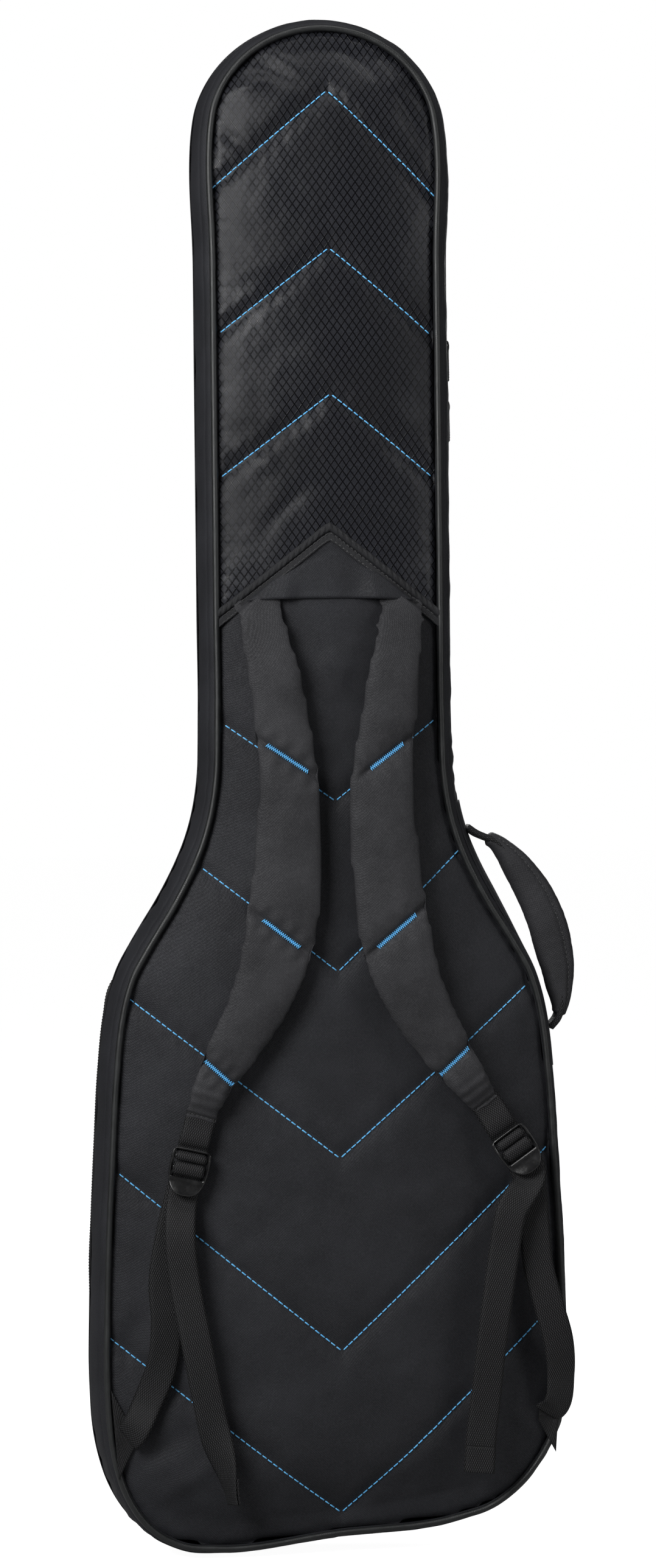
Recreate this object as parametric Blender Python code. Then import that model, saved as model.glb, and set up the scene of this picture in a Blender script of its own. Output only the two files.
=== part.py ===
"""Padded gig bag for an electric bass: a two-shell soft case with backpack straps.

The bag stands on its base with the neck up (+Z). The back panel, which carries the
shoulder straps, faces -Y, and the accessory pocket faces +Y. Lengths are in metres.
"""

import math

import bmesh
import bpy
from mathutils import Matrix, Vector

# ------------------------------------------------------------------ driving dimensions
GAP = 0.0003  # clearance between neighbouring pieces
SKIN_CLEARANCE = 0.0009  # clearance of a thin skin over a domed surface

HALF_DEPTH = 0.040  # from mid-depth to either piping line
SPLIT_Y = 0.010  # the main zip's plane: the back half holds the deeper side wall
GUSSET_BULGE = 0.013  # how far the side wall swells past the piping
BASE_BULGE = 0.004  # the same under the base, where the bag rests
GUSSET_THICKNESS = 0.006
PANEL_THICKNESS = 0.010
PANEL_INSET = 0.0065  # the padded panels end this far inside the outline
LINING_DEPTHS = (0.0116, 0.0130)  # the lining's two faces, behind a panel's domed face
LINING_INSET = 0.002  # the lining ends this far inside its panel
PIPING_RADIUS = 0.003

NECK_HALF_WIDTH = 0.090
HEAD_SPRING_Z = 1.155  # where the straight neck becomes the round head
HEAD_RADIUS = 0.091
BASE_Z = 0.0159
BASE_SLANT = 0.10  # the soft base sags to the left: rise over run
SLANT_FADE = (0.040, 0.160)  # heights between which that sag dies out

# right half of the outline from the base's flat up to the straight neck, as (x, z)
BODY_SIDE = [
    (0.098, BASE_Z), (0.130, 0.023), (0.152, 0.038), (0.170, 0.063), (0.181, 0.100),
    (0.185, 0.148), (0.1845, 0.195), (0.183, 0.248), (0.179, 0.327), (0.175, 0.392),
    (0.169, 0.443), (0.161, 0.473), (0.146, 0.501), (0.128, 0.530), (0.111, 0.562),
    (0.100, 0.590), (0.0925, 0.625), (NECK_HALF_WIDTH, 0.680),
]  # fmt: skip
NECK_HEIGHTS = [0.765, 0.860, 0.960, 1.060]
HEAD_STEPS = 7

BACK_CROWN = {"neck": 0.016, "body": 0.024}
FRONT_CROWN = {"neck": 0.010, "body": 0.008}
CROWN_BLEND = (0.45, 0.68)  # heights between which body crown becomes neck crown
CROWN_POWER = 2.5
END_FADE = 0.070  # a dome dies out over this height at the head and the base

SEAM_APEX_Z = 0.8335  # inverted V where the upper and lower back panels join
SEAM_END_Z = 0.763
SEAM_TAPE_HALF = 0.006
SEAM_TAPE_REACH = 0.083  # the tape's ends, from the middle
SEAM_TAPE_THICKNESS = 0.0015
YOKE_EDGE_Z = 0.779
YOKE_THICKNESS = 0.0022
YOKE_MARGIN = 0.0015  # between the yoke and the tape above it

HINGE_Z = (0.110, 0.440)  # stretch of the right side where the lid turns
HINGE_X, HINGE_AT_Z = 0.2030, 0.148  # a point of the hinge's axis
TAPE_HALF = 0.0125  # width of each half of a zip tape
TAPE_THICKNESS = 0.0012

# guards inside the bag: half-width or reach along the outline, then the rest of its place
GUARD_THICKNESS = 0.003
GUARD_DEPTH = 0.0145  # behind a panel's domed face
HEADSTOCK_GUARD = (0.060, (1.055, 1.195))  # half-width, heights
BRIDGE_GUARD = (0.070, (0.170, 0.330))
BOTTOM_GUARD = (0.085, (-0.0250, 0.0085))  # reach along the base, depths

SIDE_TAB_THICKNESS = 0.003
SIDE_TAB_NOSE = 0.18  # the folded tab's blunt point, as a share of its root
SIDE_TAB_COVER = 0.002  # how far the padding gives under a tab
# (x, z) of a tab's upper root, its point and its lower root
SIDE_TABS = {
    "left": [(0.1800, 0.140), (0.1560, 0.1050), (0.1760, 0.070)],
    "right": [(0.1800, 0.148), (0.1580, 0.1080), (0.1760, 0.078)],
}

POCKET_INNER_Y = 0.0434
POCKET_SPLIT_Y = 0.0620
POCKET_OUTER_Y = 0.0850
POCKET_BULGE = 0.004
POCKET_WALL = 0.003
POCKET_FACE = 0.006
POCKET_SIDE = [
    (0.100, 0.128), (0.150, 0.131), (0.176, 0.146), (0.187, 0.178), (0.190, 0.220),
    (0.188, 0.270), (0.185, 0.327), (0.181, 0.392), (0.176, 0.436), (0.171, 0.459),
    (0.160, 0.473), (0.145, 0.477), (0.100, 0.477),
]  # fmt: skip
POCKET_HINGE_Z = 0.1225

POCKET_ZIP_END_Z = 0.150
POCKET_TAPE_HALF = 0.010
POCKET_PIPING_RADIUS = 0.0025

PAD_THICKNESS = 0.014
PAD_LIFT = (0.0010, 0.0085)  # clearance under a pad at the yoke and along its run
PAD_NEAREST = 0.056  # no part of a pad lies closer to mid-depth
STRAP_PIVOT_Z = 0.782
WEBBING_WIDTH = 0.025
WEBBING_THICKNESS = 0.0018
WEB_Y, WEB_DROP = -0.0615, 0.0105  # the webbing behind the buckle, and its fall to the tab
TAIL_Y = -0.0745
BUCKLE_Y = -0.0680
BUCKLE_SIZE = (0.032, 0.0050, 0.036)  # width, thickness, length
BUCKLE_SLOTS = ((-0.26, -0.03), (0.10, 0.38))  # low and high ends, as shares of the length
BUCKLE_RAIL = 0.003

HANDLE_Y = -0.016
HANDLE_UPPER = (0.1145, HANDLE_Y, 0.5925)
HANDLE_ANCHORS = (0.6010, 0.4120)  # heights of its two roots on the side wall
HANDLE_WEB_HALF = 0.0115
HANDLE_WEB_THICKNESS = 0.002
GRIP_RADIUS = 0.0135
GRIP_TAPER = 0.78  # the rolled grip is this much thinner at its two ends
HANDLE_PATCH_THICKNESS = 0.0015
HANDLE_PATCH_Z = (0.3950, 0.6120)
HANDLE_PATCH_Y = (-0.0330, -0.0040)
HANDLE_LIFT = 0.0057  # the webbing's face over the side wall at a root

MAIN_SLIDERS = {"main_upper": 0.990, "main_lower": 0.940}  # heights
POCKET_SLIDERS = {"pocket_left": -0.012, "pocket_right": 0.012}  # places along X
SLIDER_SIZE = (0.0090, 0.0120, 0.0032)  # across the zip, along it, proud of it
PULL_SIZE = (0.0060, 0.0300, 0.0014)
PULL_EYE = 0.0008  # from a pull's end to the middle of its hinge
PULL_STANDOFF = 0.0012  # that middle over the slider, so that the end turns clear of it

SHIFT = Vector((-0.0019, -0.00036, 0.0))  # centres the bag's box on the origin

# name: (base colour, roughness, metallic)
MATERIALS = {
    "ripstop": ((0.045, 0.047, 0.055), 0.38, 0.0),
    "panel_fabric": ((0.030, 0.031, 0.034), 0.85, 0.0),
    "gusset_fabric": ((0.026, 0.027, 0.030), 0.85, 0.0),
    "piping": ((0.020, 0.022, 0.023), 0.45, 0.0),
    "binding": ((0.022, 0.023, 0.025), 0.70, 0.0),
    "strap_fabric": ((0.040, 0.040, 0.043), 0.90, 0.0),
    "webbing": ((0.018, 0.018, 0.019), 0.75, 0.0),
    "buckle_plastic": ((0.012, 0.012, 0.013), 0.25, 0.0),
    "zip_tape": ((0.015, 0.015, 0.016), 0.80, 0.0),
    "zip_metal": ((0.050, 0.050, 0.052), 0.35, 0.8),
    "pull_rubber": ((0.015, 0.015, 0.016), 0.55, 0.0),
    "lining": ((0.080, 0.082, 0.088), 0.95, 0.0),
    "guard": ((0.020, 0.020, 0.021), 0.50, 0.0),
}


# ------------------------------------------------------------------ scene helpers
def clear_scene():
    for obj in list(bpy.data.objects):
        bpy.data.objects.remove(obj, do_unlink=True)


def new_collection(name):
    made = bpy.data.collections.new(name)
    bpy.context.scene.collection.children.link(made)
    return made


def material(name):
    if name in bpy.data.materials:
        return bpy.data.materials[name]
    colour, roughness, metallic = MATERIALS[name]
    made = bpy.data.materials.new(name)
    made.use_nodes = True
    shader = made.node_tree.nodes["Principled BSDF"]
    shader.inputs["Base Color"].default_value = (*colour, 1.0)
    shader.inputs["Roughness"].default_value = roughness
    shader.inputs["Metallic"].default_value = metallic
    return made


def add_mesh(name, bm, slot):
    """Turns a bmesh in bag coordinates into an object of the bag."""
    mesh = bpy.data.meshes.new(name)
    bmesh.ops.recalc_face_normals(bm, faces=bm.faces)
    if bm.calc_volume(signed=True) < 0:
        bmesh.ops.reverse_faces(bm, faces=bm.faces)
    bm.to_mesh(mesh)
    bm.free()
    mesh.materials.append(material(slot))
    mesh.shade_smooth()
    mesh.set_sharp_from_angle(angle=math.radians(40))
    obj = bpy.data.objects.new(name, mesh)
    obj.location = SHIFT
    bag.objects.link(obj)
    return obj


def slab(name, columns, rows, point, slot):
    """A closed slab: a flat grid given unit thickness, then placed by
    point(column, row, layer), where layer is 0 on one face and 1 on the other."""
    bm = bmesh.new()
    bmesh.ops.create_grid(bm, x_segments=columns, y_segments=rows, size=0.5)
    bmesh.ops.solidify(bm, geom=bm.faces[:], thickness=1.0)
    for vert in bm.verts:
        column = round((vert.co.x + 0.5) * columns)
        row = round((vert.co.y + 0.5) * rows)
        vert.co = point(column, row, round(abs(vert.co.z)))
    return add_mesh(name, bm, slot)


def box(name, size, place, slot, bevel):
    """A block of the given size with bevelled edges, taken by the matrix place."""
    bm = bmesh.new()
    bmesh.ops.create_cube(bm, size=1.0)
    bmesh.ops.scale(bm, vec=size, verts=bm.verts)
    bmesh.ops.bevel(bm, geom=bm.edges[:], offset=bevel, segments=1, affect="EDGES")
    bmesh.ops.transform(bm, matrix=place, verts=bm.verts)
    return add_mesh(name, bm, slot)


def tube(name, points, radius, slot, cyclic=False, resolution=1):
    """A round cord or roll along points, with filled ends unless it is a loop."""
    curve = bpy.data.curves.new(name, "CURVE")
    curve.dimensions = "3D"
    curve.bevel_depth = radius
    curve.bevel_resolution = resolution
    curve.use_fill_caps = not cyclic
    spline = curve.splines.new("POLY")
    spline.points.add(len(points) - 1)
    for spline_point, place in zip(spline.points, points):
        spline_point.co = (*place, 1.0)
    spline.use_cyclic_u = cyclic
    curve.materials.append(material(slot))
    obj = bpy.data.objects.new(name, curve)
    obj.location = SHIFT
    bag.objects.link(obj)
    return obj


def ease(value, low, high):
    """0 below low, 1 above high, smooth between."""
    share = min(max((value - low) / (high - low), 0.0), 1.0)
    return share * share * (3 - 2 * share)


def mix(first, second, share):
    return first + (second - first) * share


# ------------------------------------------------------------------ the outline
class Ring:
    """A closed outline in the XZ plane, run from the middle of its base up its right
    side, over its top and down its left side, and measured by its length."""

    def __init__(self, right_half):
        left_half = [(-x, z) for x, z in reversed(right_half) if x]
        self.points = [Vector(p) for p in right_half + left_half]
        self.marks = [0.0]
        for a, b in zip(self.points, self.points[1:] + self.points[:1]):
            self.marks.append(self.marks[-1] + (b - a).length)
        self.length = self.marks.pop()
        count = len(self.points)
        self.normals = []
        for i in range(count):
            before, here, after = (self.points[(i + k) % count] for k in (-1, 0, 1))
            along = (here - before).normalized() + (after - here).normalized()
            self.normals.append(Vector((along.y, -along.x)).normalized())

    def at(self, distance):
        """The point and the outward normal this far along."""
        distance %= self.length
        count = len(self.points)
        i = max(k for k in range(count) if self.marks[k] <= distance + 1e-9)
        end = self.marks[i + 1] if i + 1 < count else self.length
        share = (distance - self.marks[i]) / (end - self.marks[i])
        j = (i + 1) % count
        point = self.points[i].lerp(self.points[j], share)
        return point, self.normals[i].lerp(self.normals[j], share).normalized()

    def right(self, height):
        """How far along the right side reaches this height."""
        half = self.points[: len(self.points) // 2 + 1]
        for i, (a, b) in enumerate(zip(half, half[1:])):
            if a.y < height <= b.y:
                share = (height - a.y) / (b.y - a.y)
                return mix(self.marks[i], self.marks[i] + (b - a).length, share)
        raise ValueError(f"no point on the right side is {height} high")

    def stretch(self, start, end):
        """Distances of the outline's corners from start to end, both ends included."""
        if end < start:
            end += self.length
        laps = (mark + lap * self.length for lap in (-1, 0, 1) for mark in self.marks)
        inner = [mark for mark in laps if start + 0.003 < mark < end - 0.003]
        return [start, *sorted(inner), end]


def head_point(step):
    """A point of the round head, from its spring line up towards its top."""
    turn = math.pi / 2 * step / HEAD_STEPS
    return HEAD_RADIUS * math.cos(turn), HEAD_SPRING_Z + HEAD_RADIUS * math.sin(turn)


def bag_outline():
    arch = [head_point(step) for step in range(HEAD_STEPS)]
    neck = [(NECK_HALF_WIDTH, z) for z in NECK_HEIGHTS]
    top = (0.0, HEAD_SPRING_Z + HEAD_RADIUS)
    return Ring([(0.0, BASE_Z), *BODY_SIDE, *neck, *arch, top])


outline = bag_outline()
pocket_outline = Ring(
    [(0.0, POCKET_SIDE[0][1]), *POCKET_SIDE, (0.0, POCKET_SIDE[-1][1])]
)


def settle(x, y, z):
    """A point of the bag, with the sag of the soft base."""
    sag = BASE_SLANT * x * (1 - ease(z, *SLANT_FADE))
    return Vector((x, y, z + sag))


# ------------------------------------------------------------------ padded panels
def inset_rows():
    """Half-widths and heights of the panels' rows, from the base to the head."""
    rows = []
    for i in range(1, len(outline.points) // 2):
        edge = outline.points[i] - outline.normals[i] * PANEL_INSET
        rows.append((edge.x, edge.y))
    return rows


ROWS = inset_rows()


def half_width(z):
    """Half-width of the padded panels at a height."""
    if z <= ROWS[0][1]:
        return ROWS[0][0]
    for (xa, za), (xb, zb) in zip(ROWS, ROWS[1:]):
        if za <= z <= zb:
            return mix(xa, xb, (z - za) / (zb - za))
    return ROWS[-1][0]


def dome(x, z, crown):
    """How far a padded panel swells past its rim."""
    height = mix(crown["body"], crown["neck"], ease(z, *CROWN_BLEND))
    base, top = ROWS[0][1], ROWS[-1][1]
    ends = ease(z, base, base + END_FADE) * (1 - ease(z, top - END_FADE, top))
    across = min(abs(x) / half_width(z), 1.0)
    return height * ends * (1 - across**CROWN_POWER)


def back_y(x, z):
    return -HALF_DEPTH - dome(x, z, BACK_CROWN)


def front_y(x, z):
    return HALF_DEPTH + dome(x, z, FRONT_CROWN)


def seam_z(x):
    """Height of the inverted-V seam between the two back panels."""
    return mix(SEAM_APEX_Z, SEAM_END_Z, min(abs(x) / NECK_HALF_WIDTH, 1.0))


def padded_panel(name, rows, face, depths, slot, columns=10, bend=lambda x, z: 0.0):
    """A domed slab over rows of the outline. Depths are its outer and inner faces'
    distances behind the domed face; bend raises a row's middle."""

    def point(column, row, layer):
        width, z = rows[row]
        x = width * (2 * column / columns - 1)
        z += bend(x, z)
        return settle(x, face(x, z, depths[layer]), z)

    slab(name, columns, len(rows) - 1, point, slot)


def behind_back(x, z, depth):
    return back_y(x, z) + depth


def behind_front(x, z, depth):
    return front_y(x, z) - depth


def seam_bend(low, high, sign):
    """Raises the rows near the seam into its inverted V."""

    def bend(x, z):
        near = ease(z, low, high) if sign > 0 else 1 - ease(z, low, high)
        clearance = 0.0 if sign > 0 else GAP
        return near * (seam_z(x) - SEAM_END_Z + clearance)

    return bend


def back_panels():
    side = [row for row in ROWS if row[1] < SEAM_END_Z - 0.01]
    lower = [*side, (half_width(SEAM_END_Z), SEAM_END_Z)]
    upper = [(half_width(SEAM_END_Z), SEAM_END_Z)]
    upper += [row for row in ROWS if row[1] > SEAM_END_Z + 0.03]
    faces = (0.0, PANEL_THICKNESS)
    padded_panel("lower_back_panel", lower, behind_back, faces, "panel_fabric",
                 bend=seam_bend(0.60, SEAM_END_Z, 1))  # fmt: skip
    padded_panel("upper_back_panel", upper, behind_back, faces, "ripstop",
                 bend=seam_bend(SEAM_END_Z, 0.95, -1))  # fmt: skip


def front_panel():
    faces = (0.0, PANEL_THICKNESS)
    padded_panel("front_panel", ROWS, behind_front, faces, "panel_fabric", columns=8)


def linings():
    inner = [(width - LINING_INSET, z) for width, z in ROWS]
    padded_panel("back_lining", inner, behind_back, LINING_DEPTHS, "lining", columns=8)
    padded_panel("front_lining", inner, behind_front, LINING_DEPTHS, "lining", columns=8)


def guard(name, face, size, columns=6, rows=4):
    """A plate that follows a panel's domed face inside the bag."""
    half, heights = size

    def point(column, row, layer):
        x = half * (2 * column / columns - 1)
        z = mix(*heights, row / rows)
        return settle(x, face(x, z, GUARD_DEPTH + GUARD_THICKNESS * layer), z)

    slab(name, columns, rows, point, "guard")


def inner_guards():
    guard("headstock_guard", behind_back, HEADSTOCK_GUARD)
    guard("bridge_guard", behind_front, BRIDGE_GUARD)
    reach, depths = BOTTOM_GUARD
    under = -GUSSET_THICKNESS - SKIN_CLEARANCE
    side_strip("bottom_guard", -reach, reach, depths, (under, under - GUARD_THICKNESS), "guard")


# ------------------------------------------------------------------ side walls and edges
def swell(y, z):
    """How far the side wall stands past the outline at a depth and height."""
    bulge = mix(BASE_BULGE, GUSSET_BULGE, ease(z, 0.02, 0.12))
    return bulge * (1 - (y / HALF_DEPTH) ** 2)


def side_point(distance, y, offset):
    """A point on the side wall, offset outwards."""
    point, normal = outline.at(distance)
    place = point + normal * (swell(y, point.y) + offset)
    return settle(place.x, y, place.y)


def side_strip(name, start, end, depth_range, offsets, slot, steps=3):
    """A strip of side wall between two distances along the outline."""
    along = outline.stretch(start, end)

    def point(column, row, layer):
        y = mix(*depth_range, row / steps)
        return side_point(along[column], y, offsets[layer])

    slab(name, len(along) - 1, steps, point, slot)


def gussets():
    corner, shoulder = outline.right(0.0235), outline.right(1.060)
    parts = {
        "base": (-corner, corner),
        "right": (corner, shoulder),
        "head": (shoulder, outline.length - shoulder),
        "left": (outline.length - shoulder, outline.length - corner),
    }
    inner_edge = HALF_DEPTH - PIPING_RADIUS - GAP
    halves = {
        "back": (-inner_edge, SPLIT_Y - GAP / 2, 4),
        "front": (SPLIT_Y + GAP / 2, inner_edge, 2),
    }
    for half, (low, high, steps) in halves.items():
        for name, (start, end) in parts.items():
            side_strip(f"{half}_gusset_{name}", start + GAP / 2, end - GAP / 2, (low, high),
                       (0.0, -GUSSET_THICKNESS), "gusset_fabric", steps)  # fmt: skip


def rim(ring, inset):
    """A ring's corners, moved this far inside it."""
    return [point - normal * inset for point, normal in zip(ring.points, ring.normals)]


def piping(name, y):
    points = [settle(p.x, y, p.y) for p in rim(outline, PIPING_RADIUS + GAP)]
    tube(name, points, PIPING_RADIUS, "piping", cyclic=True)


def zip_tapes():
    """The main zip's two tapes, which run everywhere but along the lid's hinge."""
    start, end = outline.right(HINGE_Z[1]), outline.right(HINGE_Z[0]) + outline.length
    proud = (SKIN_CLEARANCE + TAPE_THICKNESS, SKIN_CLEARANCE)
    back = (SPLIT_Y - TAPE_HALF, SPLIT_Y - GAP / 2)
    front = (SPLIT_Y + GAP / 2, SPLIT_Y + TAPE_HALF)
    side_strip("main_zip_tape_back", start, end, back, proud, "zip_tape", steps=1)
    side_strip("main_zip_tape_front", start, end, front, proud, "zip_tape", steps=1)
    low, high = outline.right(HINGE_Z[0]) + GAP, outline.right(HINGE_Z[1]) - GAP
    side_strip("side_hinge_strip", low, high, back, proud, "binding", steps=1)


# ------------------------------------------------------------------ back panel trim
def seam_binding():
    columns = 12

    def point(column, row, layer):
        x = SEAM_TAPE_REACH * (2 * column / columns - 1)
        z = seam_z(x) + SEAM_TAPE_HALF * (2 * row - 1)
        y = back_y(x, z) - SKIN_CLEARANCE - SEAM_TAPE_THICKNESS * (1 - layer)
        return Vector((x, y, z))

    slab("seam_binding", columns, 1, point, "binding")


def strap_yoke():
    """The flap over the straps' roots: a triangle under the inverted-V seam."""
    columns, rows = 8, 3
    apex = SEAM_APEX_Z - SEAM_TAPE_HALF - YOKE_MARGIN
    slope = (SEAM_APEX_Z - SEAM_END_Z) / NECK_HALF_WIDTH

    def point(column, row, layer):
        z = mix(YOKE_EDGE_Z, apex - 3 * YOKE_MARGIN, row / rows)
        x = (apex - z) / slope * (2 * column / columns - 1)
        y = back_y(x, z) - SKIN_CLEARANCE - YOKE_THICKNESS * (1 - layer)
        return Vector((x, y, z))

    slab("strap_yoke", columns, rows, point, "panel_fabric")


def side_tab(side):
    """A folded triangle of webbing sewn into the edge seam."""
    columns, rows = 2, 3
    outward = 1 if side == "right" else -1
    upper, tip, lower = (Vector(corner) for corner in SIDE_TABS[side])

    def point(column, row, layer):
        root = upper.lerp(lower, row / rows)
        nose = mix(tip, root, SIDE_TAB_NOSE)
        place = root.lerp(nose, column / columns)
        y = -HALF_DEPTH - PIPING_RADIUS - GAP - SIDE_TAB_THICKNESS * layer
        y -= max(0.0, dome(place.x, place.y, BACK_CROWN) - SIDE_TAB_COVER)
        return settle(outward * place.x, y, place.y)

    slab(f"{side}_side_tab", columns, rows, point, "webbing")


# ------------------------------------------------------------------ shoulder straps
def band(name, path, half_widths, thickness, slot, columns=2):
    """A flat strap along path, as wide across its run as half_widths say. Its faces
    look along Y; path is the middle of the face nearest the bag."""
    points = [Vector(p) for p in path]

    def point(column, row, layer):
        here = points[row]
        along = points[min(row + 1, len(points) - 1)] - points[max(row - 1, 0)]
        across = Vector((along.z, 0.0, -along.x)).normalized()
        share = 2 * column / columns - 1
        return here + across * half_widths[row] * share - Vector((0, thickness * layer, 0))

    slab(name, columns, len(points) - 1, point, slot)


# middle line of each pad as (x, z, half-width), from the yoke down to its end
PADS = {
    "left": [
        (-0.0600, 0.7765, 0.0230), (-0.0550, 0.7500, 0.0240), (-0.0485, 0.7200, 0.0245),
        (-0.0430, 0.6850, 0.0255), (-0.0385, 0.6450, 0.0275), (-0.0370, 0.6100, 0.0295),
        (-0.0385, 0.5700, 0.0318), (-0.0420, 0.5350, 0.0328), (-0.0480, 0.4980, 0.0322),
        (-0.0600, 0.4620, 0.0290), (-0.0740, 0.4340, 0.0258), (-0.0900, 0.4080, 0.0225),
        (-0.1020, 0.3860, 0.0185), (-0.1120, 0.3560, 0.0165),
    ],
    "right": [
        (0.0590, 0.7765, 0.0230), (0.0550, 0.7500, 0.0240), (0.0500, 0.7200, 0.0245),
        (0.0450, 0.6850, 0.0258), (0.0400, 0.6500, 0.0275), (0.0380, 0.6130, 0.0300),
        (0.0400, 0.5700, 0.0318), (0.0430, 0.5350, 0.0328), (0.0490, 0.4980, 0.0325),
        (0.0600, 0.4620, 0.0300), (0.0740, 0.4350, 0.0270), (0.0900, 0.4100, 0.0235),
        (0.1060, 0.3880, 0.0190), (0.1240, 0.3640, 0.0165),
    ],
}  # fmt: skip

# a strap's ladder lock (its middle and its turn about Y), the webbing from behind it
# down to the side tab, and the free tail, as (x, z)
LOOPS = {
    "left": {
        "buckle": (-0.1215, 0.3180), "turn": 13.0,
        "web": [(-0.1240, 0.3180), (-0.1278, 0.2980), (-0.1360, 0.2650), (-0.1415, 0.2300),
                (-0.1400, 0.1950), (-0.1430, 0.1640), (-0.1550, 0.1320), (-0.1670, 0.1080)],
        "tail": [(-0.1265, 0.3030), (-0.1290, 0.2700), (-0.1255, 0.2290), (-0.1170, 0.1830),
                 (-0.1100, 0.1450), (-0.1030, 0.1100), (-0.0945, 0.0780), (-0.0890, 0.0510)],
    },
    "right": {
        "buckle": (0.1470, 0.3290), "turn": -35.0,
        "web": [(0.1510, 0.3260), (0.1562, 0.3050), (0.1600, 0.2700), (0.1630, 0.2350),
                (0.1720, 0.2000), (0.1800, 0.1700), (0.1820, 0.1450), (0.1780, 0.1190)],
        "tail": [(0.1440, 0.3070), (0.1390, 0.2800), (0.1330, 0.2480), (0.1270, 0.2100),
                 (0.1215, 0.1700), (0.1170, 0.1300), (0.1130, 0.1000), (0.1105, 0.0710)],
    },
}  # fmt: skip


def pad_face_y(x, z):
    """Where the face of a pad nearest the bag lies."""
    lift = mix(PAD_LIFT[1], PAD_LIFT[0], ease(z, 0.72, 0.776))
    return min(back_y(x, z), -PAD_NEAREST) - lift


def web_face_y(z):
    """Where the face nearest the bag of the webbing to a side tab lies."""
    return WEB_Y + WEB_DROP * (1 - ease(z, 0.12, 0.20))


def buckle_frame(side):
    """The matrix that takes a buckle's own frame (X across, Z up the strap) to the bag."""
    x, z = LOOPS[side]["buckle"]
    turn = Matrix.Rotation(math.radians(LOOPS[side]["turn"]), 4, "Y")
    return Matrix.Translation((x, BUCKLE_Y, z)) @ turn


def ladder_lock(side):
    """A ladder lock: a plate with two slots, between which lies the bar that grips."""
    width, thick, height = BUCKLE_SIZE
    frame = buckle_frame(side)
    body = box(f"{side}_ladder_lock", BUCKLE_SIZE, frame, "buckle_plastic", 0.0012)
    for low, high in BUCKLE_SLOTS:
        bm = bmesh.new()
        bmesh.ops.create_cube(bm, size=1.0)
        size = (width - 2 * BUCKLE_RAIL, 4 * thick, (high - low) * height)
        bmesh.ops.scale(bm, vec=size, verts=bm.verts)
        bmesh.ops.translate(bm, vec=(0, 0, (low + high) / 2 * height), verts=bm.verts)
        mesh = bpy.data.meshes.new("slot_cutter")
        bm.to_mesh(mesh)
        bm.free()
        cutter = bpy.data.objects.new(f"{side}_slot_cutter", mesh)
        cutter.matrix_world = Matrix.Translation(SHIFT) @ frame
        cutter.hide_render = True
        cutter.display_type = "WIRE"
        cutters.objects.link(cutter)
        cut = body.modifiers.new("slot", "BOOLEAN")
        cut.operation = "DIFFERENCE"
        cut.object = cutter


def strap(side):
    """One shoulder strap: pad, end tab, ladder lock, webbing to the side tab, tail."""
    path = [Vector((x, pad_face_y(x, z), z)) for x, z, _ in PADS[side]]
    widths = [half for _, _, half in PADS[side]]
    band(f"{side}_strap_pad", path, widths, PAD_THICKNESS, "strap_fabric")

    bar = buckle_frame(side) @ Vector((0, 0, BUCKLE_SIZE[2] / 2 + 6 * GAP))
    along = (path[-1] - path[-2]).normalized()
    start = path[-1] + along * 6 * GAP - Vector((0, PAD_THICKNESS / 2, 0))
    half = WEBBING_WIDTH / 2
    run = [start, start.lerp(bar, 0.5), bar]
    band(f"{side}_strap_end", run, [1.2 * half, 1.1 * half, half], WEBBING_THICKNESS, "webbing")
    ladder_lock(side)

    web = [(x, web_face_y(z), z) for x, z in LOOPS[side]["web"]]
    band(f"{side}_lower_webbing", web, [half] * len(web), WEBBING_THICKNESS, "webbing")
    tail = [(x, TAIL_Y, z) for x, z in LOOPS[side]["tail"]]
    band(f"{side}_strap_tail", tail, [half] * len(tail), WEBBING_THICKNESS, "webbing")


# ------------------------------------------------------------------ carry handle
# middle line of the handle as (x, z), from its upper root to its lower one
HANDLE_RUN = [
    (0.1235, 0.5905), (0.1376, 0.5815), (0.1500, 0.5680), (0.1636, 0.5480), (0.1786, 0.5190),
    (0.1866, 0.4930), (0.1905, 0.4740), (0.1920, 0.4580), (0.1912, 0.4400),
]  # fmt: skip


def handle_root(name, anchor_z, turn, joint):
    """Webbing from its anchor on the side wall, round a turn, to the end of the grip."""
    root = side_point(outline.right(anchor_z), HANDLE_Y, HANDLE_LIFT)
    rail = [root, turn, joint + (turn - joint).normalized() * 2 * GAP]

    def point(column, row, layer):
        along = (rail[min(row + 1, 2)] - rail[max(row - 1, 0)]).normalized()
        out = Vector((along.z, 0, -along.x))
        out *= math.copysign(HANDLE_WEB_THICKNESS * layer, out.x)
        return rail[row] + Vector((0, HANDLE_WEB_HALF * (2 * column - 1), 0)) + out

    slab(name, 1, 2, point, "webbing")


def handle():
    points = [Vector((x, HANDLE_Y, z)) for x, z in HANDLE_RUN]
    grip = tube("handle_grip", points[1:-1], GRIP_RADIUS, "strap_fabric", resolution=2)
    for end in (0, -1):
        grip.data.splines[0].points[end].radius = GRIP_TAPER
    handle_root("handle_webbing_upper", HANDLE_ANCHORS[0], points[0], points[1])
    handle_root("handle_webbing_lower", HANDLE_ANCHORS[1], points[-1], points[-2])
    low, high = (outline.right(z) for z in HANDLE_PATCH_Z)
    proud = (SKIN_CLEARANCE + HANDLE_PATCH_THICKNESS, SKIN_CLEARANCE)
    side_strip("handle_patch", low, high, HANDLE_PATCH_Y, proud, "binding", steps=2)


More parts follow.
